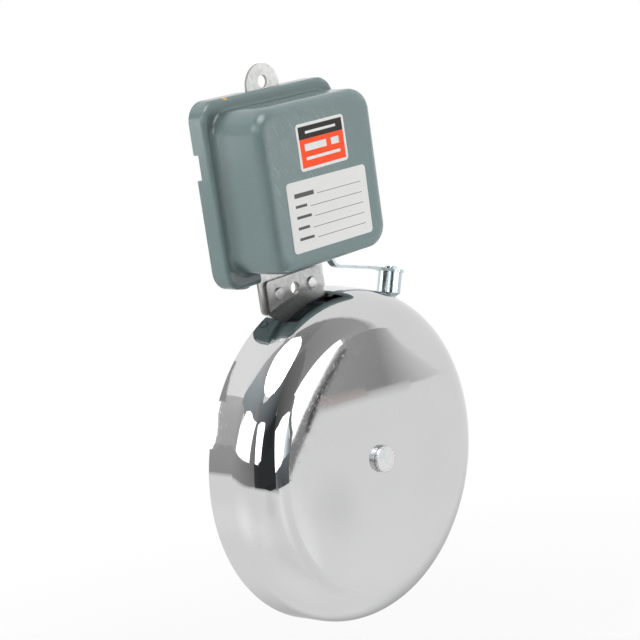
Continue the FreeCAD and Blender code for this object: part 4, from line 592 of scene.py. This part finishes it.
def sky_point(azimuth, elevation, reach):
    """A point seen from the gong's middle: azimuth 0 is in front and 90 to the right."""
    a, e = radians(azimuth), radians(elevation)
    return GONG_CENTRE + reach * Vector((sin(a) * cos(e), -cos(a) * cos(e), sin(e)))


def between(points, shares):
    """The (azimuth, elevation) between some points, where each counts by its share."""
    return tuple(sum(share * point[k] for share, point in zip(shares, points)) for k in (0, 1))


def straight(az0, az1, el0, el1):
    """The corners of an upright card between two azimuths and two elevations."""
    return ((az0, el0), (az1, el0), (az1, el1), (az0, el1))


def curve(start, pull, end, steps=6):
    """Points from start to end along a smooth curve that bends towards pull."""
    parts = [step / steps for step in range(steps + 1)]
    return [between((start, pull, end), ((1 - t) ** 2, 2 * t * (1 - t), t * t)) for t in parts]


def level_material(name):
    """A material with no shader yet, its node tree, and the level that its mesh stores."""
    material = bpy.data.materials.new(name)
    material.use_nodes = True
    tree = material.node_tree
    tree.nodes.clear()
    reader = tree.nodes.new("ShaderNodeAttribute")
    reader.attribute_name = "level"
    return material, tree, reader.outputs["Fac"]


def use_shader(tree, shader):
    output = tree.nodes.new("ShaderNodeOutputMaterial")
    tree.links.new(shader.outputs[0], output.inputs["Surface"])


def card_material(name, colour):
    """Plain light of this colour, as strong as the level."""
    material, tree, level = level_material(name)
    light = tree.nodes.new("ShaderNodeEmission")
    light.inputs["Color"].default_value = (*colour, 1.0)
    tree.links.new(level, light.inputs["Strength"])
    use_shader(tree, light)
    return material


def pool_material(name):
    """Clear where the level is 0, dimming what is behind it below 0, and glowing above 0."""
    material, tree, level = level_material(name)

    def math(operation, first, second):
        node = tree.nodes.new("ShaderNodeMath")
        node.operation = operation
        node.inputs[0].default_value = first
        tree.links.new(second, node.inputs[1])
        return node.outputs[0]

    clear = tree.nodes.new("ShaderNodeBsdfTransparent")
    tree.links.new(math("ADD", 1.0, math("MINIMUM", 0.0, level)), clear.inputs["Color"])
    light = tree.nodes.new("ShaderNodeEmission")
    tree.links.new(math("MAXIMUM", 0.0, level), light.inputs["Strength"])
    both = tree.nodes.new("ShaderNodeAddShader")
    tree.links.new(clear.outputs[0], both.inputs[0])
    tree.links.new(light.outputs[0], both.inputs[1])
    use_shader(tree, both)
    return material


def show_in_reflections(name, places, faces, levels, material):
    """Puts a mesh with a light level at each point in the studio, for reflections alone."""
    mesh = bpy.data.meshes.new(name)
    mesh.from_pydata(places, [], faces)
    mesh.attributes.new("level", "FLOAT", "POINT").data.foreach_set("value", levels)
    mesh.materials.append(material)
    obj = link_new(name, mesh)
    obj.visible_camera = False
    obj.visible_diffuse = False
    obj.visible_transmission = False
    obj.visible_volume_scatter = False
    obj.visible_shadow = False


def card(name, corners, levels, colour=WHITE, layer=0, reach=FAR):
    """A studio card whose light changes evenly from corner to corner.

    Its four corners (azimuth, elevation) run from the lower left to the lower right, upper
    right and upper left, and the light at each is given by levels, a number or four numbers.
    """
    steps = 24
    line = steps + 1
    levels = levels if isinstance(levels, tuple) else (levels,) * 4
    reach = reach * (1 - LAYER_STEP * layer)
    places, light = [], []
    for row in range(line):
        for column in range(line):
            u, v = column / steps, row / steps
            shares = ((1 - u) * (1 - v), u * (1 - v), u * v, (1 - u) * v)
            places.append(sky_point(*between(corners, shares), reach))
            light.append(sum(s * level for s, level in zip(shares, levels)))
    starts = [row * line + column for row in range(steps) for column in range(steps)]
    faces = [(i, i + 1, i + 1 + line, i + line) for i in starts]
    show_in_reflections(name, places, faces, light, card_material(name, colour))


def softbox(name, outline, level, colour=WHITE, layer=3, reach=FAR):
    """An evenly lit studio card with an outline of (azimuth, elevation) points.

    A point where two stretches of the outline meet may be given twice.
    """
    reach = reach * (1 - LAYER_STEP * layer)
    places = [sky_point(*point, reach) for point in dict.fromkeys(outline)]
    faces = [tuple(range(len(places)))]
    show_in_reflections(name, places, faces, [level] * len(places), card_material(name, colour))


def pool(name, middle, spread, change):
    """A soft patch just over the floor, which changes its light most at the patch's middle.

    Its middle and its spread each way are (azimuth, elevation).
    """
    rings, spokes = 12, 32
    drop = GONG_CENTRE.z - FLOOR_HEIGHT - POOL_HEIGHT
    places, light = [], []
    for ring in range(rings + 1):
        share = ring / rings
        for spoke in range(spokes):
            turn = 2 * pi * spoke / spokes
            azimuth = middle[0] + spread[0] * share * cos(turn)
            elevation = middle[1] + spread[1] * share * sin(turn)
            places.append(sky_point(azimuth, elevation, -drop / sin(radians(elevation))))
            light.append(change * (1 - share * share) ** 2)
    faces = []
    for ring in range(rings):
        for spoke in range(spokes):
            here, after = ring * spokes + spoke, ring * spokes + (spoke + 1) % spokes
            faces.append((here, after, after + spokes, here + spokes))
    show_in_reflections(name, places, faces, light, pool_material(name))


def lamp(name, azimuth, elevation, level):
    """A square soft lamp aimed at the gong; level is what it adds to a white card facing it."""
    light = bpy.data.lights.new(name, "AREA")
    light.shape = "SQUARE"
    light.size = LAMP_SIZE
    light.energy = level * 4 * pi * LAMP_DISTANCE**2
    obj = link_new(name, light)
    obj.location = sky_point(azimuth, elevation, LAMP_DISTANCE)
    obj.rotation_mode = "QUATERNION"
    obj.rotation_quaternion = (GONG_CENTRE - obj.location).to_track_quat("-Z", "Y")
    obj.visible_camera = False
    obj.visible_glossy = False


make_world()
make_floor()

# The studio is laid out after the photo's reflections in the gong. Every place is (azimuth,
# elevation) in degrees, and cards on higher layers hide those on lower ones.

# Room: grey walls and ceiling, dark round the camera, and white to the right and below.
card("left_wall", ((-131, 0), (-62, -5), (-62, 9), (-131, 14)), (0.42, 0.26, 0.22, 0.46), layer=1)
card("left_wall_foot", ((-131, -2), (-62, -8), (-62, -5), (-131, 0)), (1.0, 1.0, 0.5, 0.55))
card("left_end", ((-142, 8), (-118, 8), (-120, 37), (-142, 37)), (0.48, 0.56, 0.50, 0.70), layer=1)
card("left_wall_top", ((-138, 37), (-58, 30), (-60, 56), (-133, 62)), (0.42, 0.22, 0.46, 0.62),
     COOL)
card("left_ceiling", ((-133, 60), (-60, 54), (-60, 84), (-136, 84)), (0.62, 0.44, 0.40, 0.56))
card("back_left", straight(-190, -140, 62, 84), 1.1)
card("back_left_low", straight(-190, -141, 37, 62), (1.12, 1.12, 1.10, 1.10))
card("divider", straight(-76, -58, 8, 44), (0.27, 0.27, 0.22, 0.40), layer=1)
card("camera_side", ((-62, -5.5), (-20, -12), (-16, 20), (-62, 20)), (0.06, 0.03, 0.035, 0.05),
     COOL, layer=2)
card("camera_right", ((-20, -12), (-4, -13), (-4, 12), (-16, 20)), 0.04, COOL, layer=2)
card("camera_foot", ((-62, -7.8), (4, -16), (4, -13.2), (-62, -5.2)), (1.0, 1.0, 0.08, 0.04))
card("above_camera", ((-62, 18), (-16, 18), (-8, 42), (-62, 42)), (0.12, 0.04, 0.24, 0.30), COOL,
     layer=2)
card("above_reflector", ((-14, 8), (18, -2), (14, 44), (-12, 44)), (0.08, 0.24, 0.26, 0.17),
     layer=2)
card("seam", ((18, -2.5), (34, -13.5), (38, -13.5), (22, 4)), 0.24, layer=2)
card("right_wall", ((-16, 10), (46.6, -8), (47.6, 50), (-12, 50)), (0.20, 0.50, 0.44, 0.26), layer=1)
card("right_wall_top", ((5, 46), (47, 46), (46, 82), (12, 82)), (0.24, 0.40, 0.34, 0.30), layer=1)
card("right_wall_side", ((46.5, -9), (48.2, -9), (52, 82), (46, 82)), (0.44, 0.95, 0.9, 0.30),
     layer=2)
card("ceiling", straight(-180, 180, 84, 89.9), 0.5, layer=1)
card("gap", ((42, -13.5), (48, -13.5), (47.2, -8), (42, -8)), (0.46, 0.34, 0.44, 0.46), layer=2)
card("gap_end", ((48, -13.5), (52.5, -13.5), (49, -11), (47.2, -9)), (0.34, 0.90, 0.9, 0.44),
     layer=2)
card("gap_foot", ((41.6, -13.9), (50, -13.9), (50, -13.3), (42.3, -13.3)), (1.0, 1.0, 0.7, 0.48),
     layer=3)
card("gap_glow", ((42, -13.6), (46.5, -13.5), (46, -13), (42.6, -12.9)), (0.62, 0.60, 0.44, 0.45),
     WARM, layer=4)
card("below_front_left", ((-9, -13), (2, -13.9), (2, -7), (-9, -7)), (0.36, 0.20, 0.16, 0.20),
     COOL, layer=1)
card("below_front", ((2, -13.9), (40.1, -17.2), (36, -12), (2, -7)), (0.07, 0.14, 0.30, 0.16),
     COOL, layer=1)

# Softboxes, the wall between two of them, and the lit window in front with its frame.
softbox("softbox_left", ((-119, 14), (-110, 12.5), (-76, 10), (-73, 20), (-70, 27), (-66, 32),
                         (-80, 36), (-90, 39), (-98, 40), (-110, 38), (-113, 33), (-118, 28)),
        SOFTBOX)
softbox("softbox_end", [*curve((-134, 34), (-126.5, 23), (-126, 12.5)), (-160, 12.5), (-160, 34)],
        SOFTBOX, layer=0, reach=NEAR)
softbox("end_wall", [*curve((-154, 49.5), (-141, 44.5), (-133.5, 34.5)), (-165, 34.5),
                     (-175, 49.5)], 0.40, layer=0, reach=NEAR)
softbox("softbox_near", ((-60, 8), (-50, 6), (-44, 7), (-40, 22), (-40, 26), (-44, 28), (-52, 30),
                         (-60, 29)), SOFTBOX, (0.97, 1.0, 1.02))
softbox("overhead", [*curve((-92, 76), (-66, 41.5), (-20, 40), 8),
                     *curve((-20, 40), (4, 41), (20, 70)), (18, 82), (-80, 82)], 2 * SOFTBOX)
softbox("front_reflector", ((-11.5, 9.7), (-4.6, -7.6), (16, -9.6), (18.6, -2.2), (17, 0.3),
                            (14.5, 2.5), (10, 5), (2, 8.8)), SOFTBOX, layer=4)
card("reflector_end", ((15.8, -9.6), (34.5, -14), (25, -8.2), (18.5, -2.2)), (1.4, 0.22, 0.6, 1.4),
     COOL, layer=4)
window_right = curve((40.4, -15.1), (42, -12.6), (44.8, -10.5), 4)
softbox("front_window", [*curve((16, 7), (20.5, 3.5), (21.5, -1.5), 4),
                         *curve((21.5, -1.5), (25.5, -7.5), (40, -15.4), 8),
                         *window_right,
                         *curve((44.8, -10.5), (42.3, -5.5), (40.3, 0.3), 4),
                         *curve((40.3, 0.3), (36.5, 3.5), (16, 7), 5)], SOFTBOX, layer=4)
softbox("window_frame", [*curve((40, -17.1), (41.4, -14.1), (45.2, -10.9)),
                         *reversed(window_right), (40, -15.4)], 0.30, layer=3)
softbox("frame_edge", [*curve((41.3, -14.7), (42.1, -12.7), (45, -10.8)),
                       *curve((45.1, -10.9), (42.4, -12.8), (41.5, -14.8))], 0.03, layer=5)
card("beside_camera", ((-54, -5.5), (-16, -8.5), (-16, 8), (-54, 8)), 0.045, COOL,
     reach=BESIDE_CAMERA)

# Soft patches just over the floor: they add light where the change is above 0, and dim below.
pool("floor_left", (-105, -23), (38, 17), 0.20)
pool("floor_near", (-62, -30), (32, 15), 0.08)
pool("floor_front", (2, -22), (13, 15), 0.16)
pool("floor_dark_near", (-28, -17), (20, 9), -0.13)
pool("floor_band", (-25, -42), (70, 12), -0.05)
pool("floor_right", (20, -34), (22, 18), -0.06)
pool("floor_streak", (37, -24), (1.8, 9), 0.16)
pool("floor_mark", (40.8, -20.2), (3.4, 4.2), -0.08)
pool("floor_light", (-60, -64), (90, 22), 0.05)
pool("floor_dark_back", (130, -46), (85, 38), -0.50)

lamp("lamp_left", -105, 30, 0.46)
lamp("lamp_right", 45, 14, 0.56)
lamp("lamp_top", -30, 70, 0.30)


# Camera ---------------------------------------------------------------------------------------

CAMERA_PLACE = (-0.50914, -0.51255, 0.09391)
CAMERA_AZIMUTH = -45.664
CAMERA_ELEVATION = 12.221
CAMERA_ROLL = -8.235
CAMERA_LENS = 92.93
SENSOR_WIDTH = 36.0


def make_camera():
    data = bpy.data.cameras.new("camera")
    data.lens = CAMERA_LENS
    data.sensor_width = SENSOR_WIDTH
    camera = link_new("camera", data)
    a, e = radians(CAMERA_AZIMUTH), radians(CAMERA_ELEVATION)
    back = Vector((sin(a) * cos(e), -cos(a) * cos(e), sin(e)))
    level = (-back).to_track_quat("-Z", "Y").to_matrix()
    turned = level @ Matrix.Rotation(radians(CAMERA_ROLL), 3, "Z")
    camera.rotation_mode = "QUATERNION"
    camera.rotation_quaternion = turned.to_quaternion()
    camera.location = CAMERA_PLACE
    bpy.context.scene.camera = camera


make_camera()
bpy.context.scene.view_settings.view_transform = "Standard"
